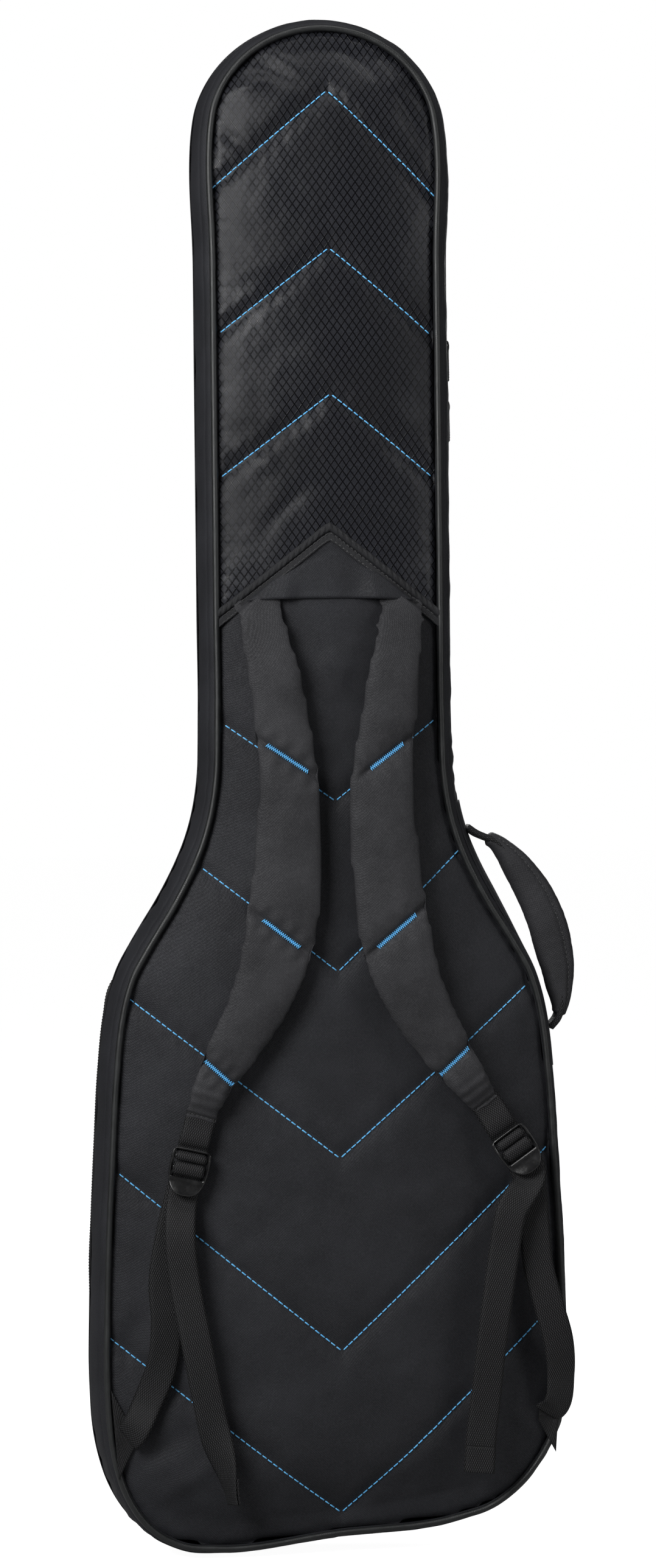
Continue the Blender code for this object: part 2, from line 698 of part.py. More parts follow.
# ------------------------------------------------------------------ accessory pocket
def pocket_wall(name, start, end, depths, offsets, slot, steps=2):
    """A strip of the pocket's wall between two distances along the pocket's outline."""
    along = pocket_outline.stretch(start, end)
    middle = (POCKET_INNER_Y + POCKET_OUTER_Y) / 2
    half = (POCKET_OUTER_Y - POCKET_INNER_Y) / 2

    def point(column, row, layer):
        place, normal = pocket_outline.at(along[column])
        y = max(mix(*depths, row / steps), front_y(place.x, place.y) + 2 * SKIN_CLEARANCE)
        bulge = POCKET_BULGE * (1 - ((y - middle) / half) ** 2)
        place = place + normal * (bulge + offsets[layer])
        return Vector((place.x, y, place.y))

    slab(name, len(along) - 1, steps, point, slot)


def pocket():
    """The pocket: a wall sewn to the lid, and a front that folds down on its zip."""
    whole = (GAP / 2, pocket_outline.length - GAP / 2)
    back = (POCKET_INNER_Y, POCKET_SPLIT_Y - GAP / 2)
    front = (POCKET_SPLIT_Y + GAP / 2, POCKET_OUTER_Y - POCKET_FACE + GAP)
    pocket_wall("pocket_wall_back", *whole, back, (0.0, -POCKET_WALL), "gusset_fabric")
    pocket_wall("pocket_wall_front", *whole, front, (0.0, -POCKET_WALL), "gusset_fabric")

    low = pocket_outline.right(POCKET_ZIP_END_Z)
    zipped = (low, pocket_outline.length - low)
    proud = (SKIN_CLEARANCE + TAPE_THICKNESS, SKIN_CLEARANCE)
    back = (POCKET_SPLIT_Y - POCKET_TAPE_HALF, POCKET_SPLIT_Y - GAP / 2)
    front = (POCKET_SPLIT_Y + GAP / 2, POCKET_SPLIT_Y + POCKET_TAPE_HALF)
    pocket_wall("pocket_zip_tape_back", *zipped, back, proud, "zip_tape", 1)
    pocket_wall("pocket_zip_tape_front", *zipped, front, proud, "zip_tape", 1)

    inset = POCKET_PIPING_RADIUS + GAP
    loop = [(p.x, POCKET_OUTER_Y - inset, p.y) for p in rim(pocket_outline, inset)]
    tube("pocket_piping", loop, POCKET_PIPING_RADIUS, "piping", cyclic=True)
    pocket_face()


def pocket_face():
    """The pocket's flat front, inside its piping."""
    edge = rim(pocket_outline, 2 * (POCKET_PIPING_RADIUS + GAP))
    edge = edge[1 : len(edge) // 2]
    columns = 6

    def point(column, row, layer):
        x = edge[row].x * (2 * column / columns - 1)
        return Vector((x, POCKET_OUTER_Y - POCKET_FACE * layer, edge[row].y))

    slab("pocket_face", columns, len(edge) - 1, point, "panel_fabric")


# ------------------------------------------------------------------ zip sliders and pulls
def slider_and_pull(slider, pull, centre, along, out, pull_along):
    """A slider standing on a zip at centre, and the pull on its bridge. along runs with
    the zip, out stands off it and pull_along is where the pull points. Returns the
    middle of the pull's hinge."""
    across = along.cross(out)
    turn = Matrix((across, along, out)).transposed().to_4x4()
    place = Matrix.Translation(centre + out * SLIDER_SIZE[2] / 2) @ turn
    box(slider, SLIDER_SIZE, place, "zip_metal", 0.0010)
    turn = Matrix((pull_along.cross(out), pull_along, out)).transposed().to_4x4()
    bridge = centre + out * (SLIDER_SIZE[2] + PULL_STANDOFF)
    place = Matrix.Translation(bridge + pull_along * (PULL_SIZE[1] / 2 - PULL_EYE)) @ turn
    box(pull, PULL_SIZE, place, "pull_rubber", 0.0004)
    return bridge


def sliders():
    """Both zips' sliders. Returns each one's name with the middle of its pull's hinge."""
    bridges = {}
    up, down, right = Vector((0, 0, 1)), Vector((0, 0, -1)), Vector((1, 0, 0))
    proud = SKIN_CLEARANCE + TAPE_THICKNESS + 2 * GAP
    for name, z in MAIN_SLIDERS.items():
        centre = side_point(outline.right(z), SPLIT_Y, proud)
        bridges[name] = slider_and_pull(f"{name}_slider", f"{name}_pull", centre, up, right, down)
    top = POCKET_SIDE[-1][1] + POCKET_BULGE + proud
    for name, x in POCKET_SLIDERS.items():
        centre = Vector((x, POCKET_SPLIT_Y, top))
        run = Vector((math.copysign(1, x), 0, 0))
        bridges[name] = slider_and_pull(f"{name}_slider", f"{name}_pull", centre, run, up, run)
    return bridges


# ------------------------------------------------------------------ joints
def hang(joint, place, nodes, parent=None):
    """Carries nodes on an empty that stands on a joint's axis."""
    empty = bpy.data.objects.new(joint, None)
    empty.empty_display_size = 0.02
    bag.objects.link(empty)
    if parent:
        empty.parent = parent
        empty.location = Vector(place) + SHIFT - parent.matrix_world.translation
    else:
        empty.location = Vector(place) + SHIFT
    bpy.context.view_layer.update()
    for node in nodes:
        piece = bpy.data.objects[node]
        piece.parent = empty
        piece.matrix_parent_inverse = empty.matrix_world.inverted()
    return empty


def add_joints(bridges):
    front_walls = [f"front_gusset_{part}" for part in ("base", "right", "head", "left")]
    lid = hang("lid_hinge", (HINGE_X, SPLIT_Y, HINGE_AT_Z), [
        "front_panel", "front_lining", "bridge_guard", "front_piping", *front_walls,
        "main_zip_tape_front", "pocket_wall_back", "pocket_zip_tape_back",
    ])  # fmt: skip
    hang("pocket_hinge", (0, POCKET_SPLIT_Y, POCKET_HINGE_Z), [
        "pocket_wall_front", "pocket_zip_tape_front", "pocket_piping", "pocket_face",
    ], lid)  # fmt: skip
    hang("handle_swing", HANDLE_UPPER,
         ["handle_grip", "handle_webbing_upper", "handle_webbing_lower"])  # fmt: skip
    for name, bridge in bridges.items():
        on_lid = lid if name in POCKET_SLIDERS else None
        travel = hang(f"{name}_slider_travel", bridge, [f"{name}_slider"], on_lid)
        hang(f"{name}_pull_swing", bridge, [f"{name}_pull"], travel)
    for side, pad in PADS.items():
        x, z, _ = pad[0]
        swing = hang(f"{side}_strap_swing", (x, pad_face_y(x, z), STRAP_PIVOT_Z),
                     [f"{side}_strap_pad", f"{side}_strap_end"])  # fmt: skip
        bar = buckle_frame(side) @ Vector((0, 0, BUCKLE_SIZE[2] / 2))
        tilt = hang(f"{side}_buckle_tilt", bar, [f"{side}_ladder_lock"], swing)
        x, z = LOOPS[side]["tail"][0]
        hang(f"{side}_tail_swing", (x, TAIL_Y, z), [f"{side}_strap_tail"], tilt)
        x, z = LOOPS[side]["web"][-1]
        hang(f"{side}_webbing_swing", (x, web_face_y(z), z), [f"{side}_lower_webbing"])


clear_scene()
bag = new_collection("bass_gig_bag")
cutters = new_collection("cutters")

back_panels()
front_panel()
linings()
gussets()
inner_guards()
piping("back_piping", -HALF_DEPTH)
piping("front_piping", HALF_DEPTH)
zip_tapes()
seam_binding()
strap_yoke()
for strap_side in PADS:
    side_tab(strap_side)
    strap(strap_side)
handle()
pocket()
add_joints(sliders())
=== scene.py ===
"""The looks of the padded bass gig bag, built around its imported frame.

Lengths are in metres. Shapes are worked out in bag coordinates, x from the bag's middle line
and y from its mid-depth, and moved into the frame by OFFSET when a piece is made.
"""

import math

import bmesh
import bpy
import numpy as np
from mathutils import Matrix, Vector, noise
from mathutils.bvhtree import BVHTree


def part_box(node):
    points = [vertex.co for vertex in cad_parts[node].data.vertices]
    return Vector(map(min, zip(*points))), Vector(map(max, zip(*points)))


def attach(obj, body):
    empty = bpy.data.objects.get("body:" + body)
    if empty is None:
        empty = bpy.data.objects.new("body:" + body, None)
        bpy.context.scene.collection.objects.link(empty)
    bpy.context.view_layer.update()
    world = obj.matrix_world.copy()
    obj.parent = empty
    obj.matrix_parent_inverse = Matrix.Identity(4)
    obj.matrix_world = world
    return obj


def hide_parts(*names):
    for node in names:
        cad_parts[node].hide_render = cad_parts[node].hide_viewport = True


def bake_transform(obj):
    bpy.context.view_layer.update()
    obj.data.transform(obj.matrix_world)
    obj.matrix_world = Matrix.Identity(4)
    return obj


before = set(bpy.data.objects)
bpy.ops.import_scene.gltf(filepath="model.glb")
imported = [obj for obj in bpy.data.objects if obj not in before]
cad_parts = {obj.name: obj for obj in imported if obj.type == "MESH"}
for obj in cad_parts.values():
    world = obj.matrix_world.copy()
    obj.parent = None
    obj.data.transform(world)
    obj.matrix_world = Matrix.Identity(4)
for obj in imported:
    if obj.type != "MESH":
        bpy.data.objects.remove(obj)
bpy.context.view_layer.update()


def add_object(name, data):
    obj = bpy.data.objects.new(name, data)
    bpy.context.scene.collection.objects.link(obj)
    return obj


def middle(node):
    low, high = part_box(node)
    return (low + high) / 2


# ------------------------------------------------------------------ places from the frame
BACK_LINE, FRONT_LINE = middle("back_piping"), middle("front_piping")
OFFSET = np.array([BACK_LINE.x, (BACK_LINE.y + FRONT_LINE.y) / 2, 0.0])
HALF_DEPTH = (FRONT_LINE.y - BACK_LINE.y) / 2
SPLIT_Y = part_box("front_gusset_right")[0].y - OFFSET[1]
POCKET_SPLIT_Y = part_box("pocket_wall_front")[0].y - OFFSET[1]
POCKET_OUTER_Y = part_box("pocket_face")[1].y - OFFSET[1]
POCKET_INNER_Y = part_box("pocket_wall_back")[0].y - OFFSET[1]

# ------------------------------------------------------------------ driving dimensions
NECK_HALF_WIDTH = 0.090
HEAD_SPRING_Z, HEAD_RADIUS = 1.155, 0.091
BASE_Z = 0.0159
BASE_SLANT, SLANT_FADE = 0.10, (0.040, 0.160)
BODY_SIDE = [
    (0.098, BASE_Z), (0.130, 0.023), (0.152, 0.038), (0.170, 0.063), (0.181, 0.100),
    (0.185, 0.148), (0.1845, 0.195), (0.183, 0.248), (0.179, 0.327), (0.175, 0.392),
    (0.169, 0.443), (0.161, 0.473), (0.146, 0.501), (0.128, 0.530), (0.111, 0.562),
    (0.100, 0.590), (0.0925, 0.625), (NECK_HALF_WIDTH, 0.680),
]
NECK_HEIGHTS = [0.765, 0.860, 0.960, 1.060]
GUSSET_BULGE, BASE_BULGE, GUSSET_THICKNESS = 0.0102, 0.004, 0.005
RIM_SPREAD = 0.0045  # the stuffed panels push their rims out
ZIP_DIP, ZIP_DIP_WIDTH = 0.0035, 0.010  # the side wall is drawn in along its zip
RIGHT_FLATTER = 0.55  # beside the body its right side swells that much less
PIPING_RADIUS = 0.0026
PANEL_INSET, PANEL_THICKNESS = 0.0030, 0.009
LINING_CLEAR = 0.0012
PANEL_CAP = 0.009  # the furthest that stuffing may swell a back panel

BACK_CROWN = {"neck": 0.016, "body": 0.024}
FRONT_CROWN = {"neck": 0.010, "body": 0.008}
CROWN_BLEND, CROWN_POWER, END_FADE = (0.45, 0.68), 2.5, 0.070

SEAM_APEX_Z, SEAM_END_Z = 0.8335, 0.763
YOKE_EDGE_Z, TRIM_HALF = 0.7785, 0.0078

APEX_X = 0.0024
# quilting lines: height in the middle, height at the left edge, height at the right edge
UPPER_QUILTING = [(1.191, 1.111, 1.106), (1.063, 0.991, 0.990), (0.9445, 0.874, 0.874)]
LOWER_QUILTING = [
    (0.614, 0.681, 0.684), (0.476, 0.565, 0.574), (0.325, 0.457, 0.466),
    (0.169, 0.319, 0.334), (0.035, 0.183, 0.205),
]


# ------------------------------------------------------------------ numbers and curves
def ease(value, low, high):
    """0 below low, 1 above high, smooth between."""
    share = np.clip((np.asarray(value, float) - low) / (high - low), 0, 1)
    return share * share * (3 - 2 * share)


def mix(first, second, share):
    return first + (second - first) * share


def bell(distance, width):
    """1 at no distance, falling smoothly to 0 over about twice the width."""
    return np.exp(-((distance / width) ** 2))


def spline(points, count, closed=False):
    """Points evenly spaced along a smooth curve through the given ones."""
    knots = np.array(points, float)
    if closed:
        knots = np.vstack([knots[-2:], knots, knots[:3]])
    else:
        knots = np.vstack([2 * knots[0] - knots[1], knots, 2 * knots[-1] - knots[-2]])
    steps = np.maximum(np.linalg.norm(np.diff(knots, axis=0), axis=1), 1e-9)
    rates = np.diff(knots, axis=0) / steps[:, None]
    before, after = steps[:-1, None], steps[1:, None]
    tangents = (rates[:-1] * after + rates[1:] * before) / (before + after)
    fine = []
    share = np.linspace(0, 1, 24, endpoint=False)[:, None]
    first, last = (2, len(knots) - 3) if closed else (1, len(knots) - 2)
    for i in range(first, last):
        a, b, step = knots[i], knots[i + 1], steps[i]
        slope_a, slope_b = tangents[i - 1] * step, tangents[i] * step
        cubic = (2 * share**3 - 3 * share**2 + 1) * a + (share**3 - 2 * share**2 + share) * slope_a
        cubic = cubic + (-2 * share**3 + 3 * share**2) * b + (share**3 - share**2) * slope_b
        fine.append(cubic)
    fine = np.vstack([*fine, knots[last]])
    marks = np.concatenate([[0], np.cumsum(np.linalg.norm(np.diff(fine, axis=0), axis=1))])
    wanted = np.linspace(0, marks[-1], count + 1 if closed else count)
    made = np.stack([np.interp(wanted, marks, column) for column in fine.T], axis=1)
    return made[:-1] if closed else made


def headings(points):
    """Unit vectors along a run of points."""
    along = np.gradient(points, axis=0)
    return along / np.linalg.norm(along, axis=1)[:, None]


def lumps(points, size, seed=0.0, octaves=2):
    """Smooth noise between about -1 and 1 at each point, with lumps of the given size."""
    shift = Vector((seed, 1.7 * seed, -0.6 * seed))
    return np.array([noise.fractal(Vector(p) / size + shift, 0.8, 2.0, octaves) for p in points])


# ------------------------------------------------------------------ the outline
class Outline:
    """A smooth closed outline in the XZ plane, run from the middle of its base up its
    right side, over its top and down its left side."""

    def __init__(self, right_half, count):
        left_half = [(-x, z) for x, z in reversed(right_half) if x > 0]
        self.points = spline(right_half + left_half, count, closed=True)
        self.count = count
        along = np.roll(self.points, -1, axis=0) - np.roll(self.points, 1, axis=0)
        along /= np.linalg.norm(along, axis=1)[:, None]
        self.normals = np.stack([along[:, 1], -along[:, 0]], axis=1)
        steps = np.linalg.norm(np.roll(self.points, -1, axis=0) - self.points, axis=1)
        self.length = steps.sum()
        self.marks = np.concatenate([[0], np.cumsum(steps)[:-1]])

    def inset(self, distance):
        return self.points - self.normals * distance

    def at(self, marks):
        """The points and outward normals at distances along the outline."""
        marks = np.asarray(marks, float) % self.length
        table = np.append(self.marks, self.length)
        found = []
        for values in (self.points, self.normals):
            closed = np.vstack([values, values[:1]])
            found.append(np.stack([np.interp(marks, table, column) for column in closed.T], axis=1))
        return found

    def right(self, height):
        """The distance along the outline at which its right side reaches a height."""
        half = self.count // 2
        return float(np.interp(height, self.points[10:half, 1], self.marks[10:half]))

    def left(self, height):
        return self.length - self.right(height)

    def half_width(self, z, inset=0.0):
        half = self.inset(inset)[: self.count // 2 + 1]
        return np.interp(z, np.maximum.accumulate(half[:, 1]), half[:, 0])

    def nearest(self, xz):
        """For each point, how far inside the outline it is and where along it that is."""
        depth, mark = np.empty(len(xz)), np.empty(len(xz))
        for start in range(0, len(xz), 4000):
            part = xz[start : start + 4000]
            gap = np.linalg.norm(part[:, None] - self.points[None], axis=2)
            near = gap.argmin(axis=1)
            depth[start : start + 4000] = gap[np.arange(len(part)), near]
            mark[start : start + 4000] = self.marks[near]
        return depth, mark


head_turns = [math.pi / 2 * step / 7 for step in range(7)]
HEAD_ARCH = [
    (HEAD_RADIUS * math.cos(turn), HEAD_SPRING_Z + HEAD_RADIUS * math.sin(turn))
    for turn in head_turns
]
NECK_SIDE = [(NECK_HALF_WIDTH, z) for z in NECK_HEIGHTS]
TOP = (0.0, HEAD_SPRING_Z + HEAD_RADIUS)
cut = Outline([(0.0, BASE_Z), *BODY_SIDE, *NECK_SIDE, *HEAD_ARCH, TOP], 720)
spread = RIM_SPREAD * ease(cut.points[:, 1], 0.015, 0.110)
stuffed = cut.points + cut.normals * spread[:, None] * (1.0, 0.0)
outline = Outline([(0.0, BASE_Z), *map(tuple, stuffed[6:356:5]), TOP], 720)


def settle(points):
    """Lets the soft base sag to the left."""
    moved = np.array(points, float)
    sag = BASE_SLANT * moved[..., 0] * (1 - ease(moved[..., 2], *SLANT_FADE))
    moved[..., 2] += sag
    return moved


def unsettle_z(x, z):
    return z - BASE_SLANT * x * (1 - ease(z, *SLANT_FADE))


def dome(x, z, crown):
    """How far a padded panel swells past its rim."""
    height = mix(crown["body"], crown["neck"], ease(z, *CROWN_BLEND))
    base, top = BASE_Z + PANEL_INSET, TOP[1] - PANEL_INSET
    ends = ease(z, base, base + END_FADE) * (1 - ease(z, top - END_FADE, top))
    across = np.minimum(np.abs(x) / np.maximum(outline.half_width(z, PANEL_INSET), 1e-4), 1)
    return height * ends * (1 - across**CROWN_POWER)


def swell(y, z, x):
    """How far the side wall stands past the outline at a depth and a point of the outline."""
    bulge = mix(BASE_BULGE, GUSSET_BULGE, ease(z, 0.02, 0.12))
    bulge = bulge * (1 - RIGHT_FLATTER * ease(x, 0.125, 0.165))
    return bulge * (1 - (y / HALF_DEPTH) ** 2) - ZIP_DIP * bell(y - SPLIT_Y, ZIP_DIP_WIDTH)


# ------------------------------------------------------------------ materials
class Shade:
    """A Principled material and the nodes that feed it."""

    def __init__(self, name, colour, **values):
        self.material = bpy.data.materials.new(name)
        self.material.use_nodes = True
        self.nodes = self.material.node_tree.nodes
        self.links = self.material.node_tree.links
        self.shader = self.nodes["Principled BSDF"]
        self.shader.inputs["Base Color"].default_value = (*colour, 1.0)
        for socket, value in values.items():
            self.shader.inputs[socket.replace("_", " ")].default_value = value
        self.material.diffuse_color = (*colour, 1.0)

    def feed(self, socket, source):
        if isinstance(source, (int, float)):
            socket.default_value = source
        else:
            self.links.new(source, socket)

    def place(self, scale=(1, 1, 1), turn=(0, 0, 0), attribute=None):
        """Coordinates in metres: the object's own, or those run along a made piece."""
        if attribute:
            source = self.nodes.new("ShaderNodeAttribute")
            source.attribute_name = attribute
            out = source.outputs["Vector"]
        else:
            out = self.nodes.new("ShaderNodeTexCoord").outputs["Object"]
        mapping = self.nodes.new("ShaderNodeMapping")
        mapping.inputs["Scale"].default_value = scale
        mapping.inputs["Rotation"].default_value = turn
        self.links.new(out, mapping.inputs["Vector"])
        return mapping.outputs["Vector"]

    def split(self, vector):
        node = self.nodes.new("ShaderNodeSeparateXYZ")
        self.links.new(vector, node.inputs[0])
        return node.outputs[0], node.outputs[1], node.outputs[2]

    def math(self, operation, *inputs, clamp=False):
        node = self.nodes.new("ShaderNodeMath")
        node.operation = operation
        node.use_clamp = clamp
        for socket, value in zip(node.inputs, inputs):
            self.feed(socket, value)
        return node.outputs[0]

    def noise(self, vector, scale, detail=2.0, rough=0.5):
        node = self.nodes.new("ShaderNodeTexNoise")
        node.inputs["Scale"].default_value = scale
        node.inputs["Detail"].default_value = detail
        node.inputs["Roughness"].default_value = rough
        self.links.new(vector, node.inputs["Vector"])
        return node.outputs["Fac"]

    def ramp(self, value, low, high, out_low, out_high):
        node = self.nodes.new("ShaderNodeMapRange")
        node.interpolation_type = "SMOOTHSTEP"
        for socket, number in zip(node.inputs[1:5], (low, high, out_low, out_high)):
            socket.default_value = number
        self.feed(node.inputs["Value"], value)
        return node.outputs["Result"]

    def blend(self, share, first, second):
        """A colour between two, each a colour or a socket."""
        node = self.nodes.new("ShaderNodeMix")
        node.data_type = "RGBA"
        self.feed(node.inputs["Factor"], share)
        for socket, value in ((node.inputs[6], first), (node.inputs[7], second)):
            if isinstance(value, tuple):
                socket.default_value = (*value, 1.0)
            else:
                self.links.new(value, socket)
        return node.outputs[2]

    def set(self, socket, source):
        self.links.new(source, self.shader.inputs[socket])

    def bump(self, height, distance, strength=1.0, after=None):
        node = self.nodes.new("ShaderNodeBump")
        node.inputs["Strength"].default_value = strength
        node.inputs["Distance"].default_value = distance
        self.links.new(height, node.inputs["Height"])
        if after is not None:
            self.links.new(after, node.inputs["Normal"])
        self.links.new(node.outputs["Normal"], self.shader.inputs["Normal"])
        return node.outputs["Normal"]


def threads(shade, across, along, pitch):
    """The height of a plain weave, from two coordinates in metres and a thread's pitch."""
    turn = math.pi / pitch
    warp = shade.math("SINE", shade.math("MULTIPLY", across, turn))
    weft = shade.math("SINE", shade.math("MULTIPLY", along, turn))
    return shade.math("MULTIPLY", warp, weft)


def woven(name, colour, light, pitch=0.0010, attribute=None, wear=0.0, dusty=0.35, **values):
    """Plain-woven polyester: a thread pattern whose crests are painted lighter as a painted highlight,
    slubs, faded patches and a soft sheen.
    """
    shade = Shade(name, colour, **values)
    spot = shade.place(attribute=attribute)
    x, y, z = shade.split(spot)
    if attribute:
        weave = threads(shade, x, y, pitch)
    else:
        weave = threads(shade, shade.math("ADD", x, y), shade.math("SUBTRACT", z, y), pitch)
    slubs = shade.noise(spot, 900, 3.0, 0.7)
    patches = shade.noise(spot, 14, 3.0, 0.6)
    # painted highlight: the weave's thread crests are painted lighter; the slubs add random tone
    fleck_and_crest_highlight = shade.ramp(shade.math("MULTIPLY_ADD", weave, 0.22, slubs), 0.36, 0.80, 0.0, 1.0)
    faded = shade.ramp(patches, 0.35, 0.70, 0.0, dusty)
    share = shade.math("MULTIPLY_ADD", fleck_and_crest_highlight, 0.65, faded, clamp=True)
    shade.set("Base Color", shade.blend(share, colour, light))
    rough = shade.ramp(slubs, 0.3, 0.7, values["Roughness"] + 0.08, values["Roughness"] - 0.08)
    shade.set("Roughness", rough)
    relief = shade.math("MULTIPLY_ADD", weave, 0.35, slubs)
    fine = shade.bump(relief, 0.00022, 0.8)
    crumple = shade.noise(spot, 46, 2.0, 0.5)
    shade.bump(crumple, 0.0011, 0.35 + wear, after=fine)
    return shade.material


def ripstop(name):
    """Coated ripstop: glossy cloth crossed by a raised diamond grid."""
    base, dark, glint = (0.0120, 0.0126, 0.0160), (0.0012, 0.0012, 0.0018), (0.0235, 0.0245, 0.0300)
    shade = Shade(name, base, Roughness=0.44, Specular_IOR_Level=0.22)
    spot = shade.place()
    x, _, z = shade.split(spot)
    wobble = shade.noise(spot, 60, 1.0)
    x = shade.math("MULTIPLY_ADD", wobble, 0.0010, x)
    lines = []
    for sign in (1, -1):
        run = shade.math("MULTIPLY_ADD", x, sign / 0.0064, shade.math("MULTIPLY", z, 1 / 0.0090))
        off = shade.math("ABSOLUTE", shade.math("SUBTRACT", shade.math("FRACT", run), 0.5))
        lines.append(shade.ramp(off, 0.058, 0.120, 1.0, 0.0))
    grid = shade.math("MAXIMUM", *lines)
    grain = shade.noise(spot, 1100, 2.0, 0.6)
    patches = shade.noise(spot, 9, 3.0, 0.6)
    cloth = shade.blend(shade.ramp(grain, 0.3, 0.75, 0.0, 1.0), base, glint)
    cloth = shade.blend(shade.ramp(patches, 0.35, 0.7, 0.0, 0.45), cloth, dark)
    shade.set("Base Color", shade.blend(shade.math("MULTIPLY", grid, 0.95), cloth, dark))
    rough = shade.ramp(patches, 0.35, 0.65, 0.36, 0.50)
    rough = shade.math("SUBTRACT", rough, shade.math("MULTIPLY", grid, 0.12))
    shade.set("Roughness", shade.math("MULTIPLY_ADD", grain, 0.06, rough))
    fine = shade.bump(shade.math("MULTIPLY_ADD", grain, 0.25, grid), 0.00030, 0.85)
    shade.bump(shade.noise(spot, 55, 3.0, 0.55), 0.0012, 0.5, after=fine)
    return shade.material


def webbing_cloth(name, colour, light, row=0.00185, dot=0.0018):
    """Coarse flat webbing: staggered floats of yarn in rows across the strap, the floats painted light as
    painted highlights and the gaps between them painted dark as painted shade.
    """
    shade = Shade(name, colour, Roughness=0.62, Specular_IOR_Level=0.25)
    spot = shade.place(attribute="weave")
    along, across, _ = shade.split(spot)
    rows = shade.math("COSINE", shade.math("MULTIPLY", along, math.pi / row))
    dots = shade.math("COSINE", shade.math("MULTIPLY", across, 2 * math.pi / dot))
    floats = shade.ramp(shade.math("MULTIPLY", rows, dots), -0.35, 0.85, 0.0, 1.0)
    fuzz = shade.noise(spot, 1300, 3.0, 0.7)
    # painted highlight on the floats and painted shade in the gaps between them, with random fuzz
    tone = shade.math("MULTIPLY", floats, shade.ramp(fuzz, 0.25, 0.75, 0.55, 1.0))
    shade.set("Base Color", shade.blend(tone, colour, light))
    shade.set("Roughness", shade.ramp(fuzz, 0.3, 0.7, 0.52, 0.72))
    shade.bump(shade.math("MULTIPLY_ADD", fuzz, 0.25, floats), 0.00040, 0.9)
    return shade.material


def ribbed_tape(name, colour, light, rib=0.0013):
    """Grosgrain: fine ribs across a narrow tape, their crests painted lighter as a painted highlight."""
    shade = Shade(name, colour, Roughness=0.66, Specular_IOR_Level=0.30)
    spot = shade.place(attribute="weave")
    along = shade.split(spot)[0]
    ribs = shade.math("SINE", shade.math("MULTIPLY", along, 2 * math.pi / rib))
    fuzz = shade.noise(spot, 1200, 3.0, 0.7)
    # painted highlight: the rib crests are painted lighter; the fuzz adds random tone
    lift = shade.math("MULTIPLY_ADD", fuzz, 0.8, shade.math("MULTIPLY", ribs, 0.5))
    shade.set("Base Color", shade.blend(shade.ramp(lift, 0.0, 1.0, 0.0, 0.9), colour, light))
    shade.set("Roughness", shade.ramp(fuzz, 0.3, 0.7, 0.58, 0.74))
    shade.bump(lift, 0.00025, 0.8)
    return shade.material


def coated(name, colour, roughness, attribute="weave"):
    """Cloth wrapped over a cord and worn to a low sheen in scattered patches."""
    shade = Shade(name, colour, Roughness=roughness, Specular_IOR_Level=0.55)
    spot = shade.place(attribute=attribute)
    along, across, _ = shade.split(spot)
    weave = threads(shade, along, across, 0.0008)
    grain = shade.noise(spot, 1000, 3.0, 0.65)
    scuffs = shade.noise(spot, 60, 4.0, 0.65)
    light = tuple(2.2 * part for part in colour)
    shade.set("Base Color", shade.blend(shade.ramp(scuffs, 0.45, 0.8, 0.0, 0.8), colour, light))
    shade.set("Roughness", shade.ramp(scuffs, 0.3, 0.7, roughness - 0.08, roughness + 0.10))
    shade.bump(shade.math("MULTIPLY_ADD", weave, 0.4, grain), 0.00018, 0.7)
    return shade.material


def moulded(name, colour, roughness, grain_size=500, coordinates=None, **values):
    """Moulded plastic or rubber, with a fine spark texture, handling marks and dulled patches."""
    shade = Shade(name, colour, Roughness=roughness, **values)
    spot = shade.place(attribute=coordinates)
    grain = shade.noise(spot, grain_size, 2.0, 0.6)
    marks = shade.noise(spot, 90, 5.0, 0.7)
    light = tuple(min(1.0, 2.0 * part + 0.004) for part in colour)
    shade.set("Base Color", shade.blend(shade.ramp(marks, 0.5, 0.8, 0.0, 0.6), colour, light))
    shade.set("Roughness", shade.ramp(marks, 0.3, 0.75, roughness - 0.06, roughness + 0.14))
    shade.bump(grain, 0.00010, 0.5)
    return shade.material


def thread_cloth(name, colour, light, twist=0.0011):
    """Sewing thread: plies twisted along each stitch, the crest of each ply painted lighter as a painted
    highlight.
    """
    shade = Shade(name, colour, Roughness=0.50, Sheen_Weight=0.25)
    spot = shade.place()
    x, y, z = shade.split(spot)
    run = shade.math("ADD", shade.math("MULTIPLY", x, 1.3), shade.math("SUBTRACT", z, y))
    ply = shade.math("SINE", shade.math("MULTIPLY", run, 2 * math.pi / twist))
    tone = shade.math("MULTIPLY_ADD", shade.noise(spot, 400, 2.0), 0.6, 0.1)
    # painted highlight on the ply crests, over random tone
    tone = shade.math("MULTIPLY_ADD", ply, 0.22, tone, clamp=True)
    shade.set("Base Color", shade.blend(tone, colour, light))
    shade.set("Roughness", shade.ramp(tone, 0.0, 1.0, 0.58, 0.42))
    shade.bump(ply, 0.00008, 0.6)
    return shade.material


def plush(name, colour, light):
    """Brushed lining: a short pile in soft drifts."""
    shade = Shade(name, colour, Roughness=0.95, Sheen_Weight=0.5)
    spot = shade.place()
    pile = shade.noise(spot, 1500, 3.0, 0.75)
    drifts = shade.noise(spot, 25, 4.0, 0.65)
    tone = shade.math("MULTIPLY_ADD", pile, 0.5, shade.math("MULTIPLY", drifts, 0.6), clamp=True)
    shade.set("Base Color", shade.blend(tone, colour, light))
    shade.set("Roughness", shade.ramp(drifts, 0.3, 0.7, 0.88, 1.0))
    shade.bump(shade.math("MULTIPLY_ADD", drifts, 0.6, pile), 0.0008, 0.9)
    return shade.material


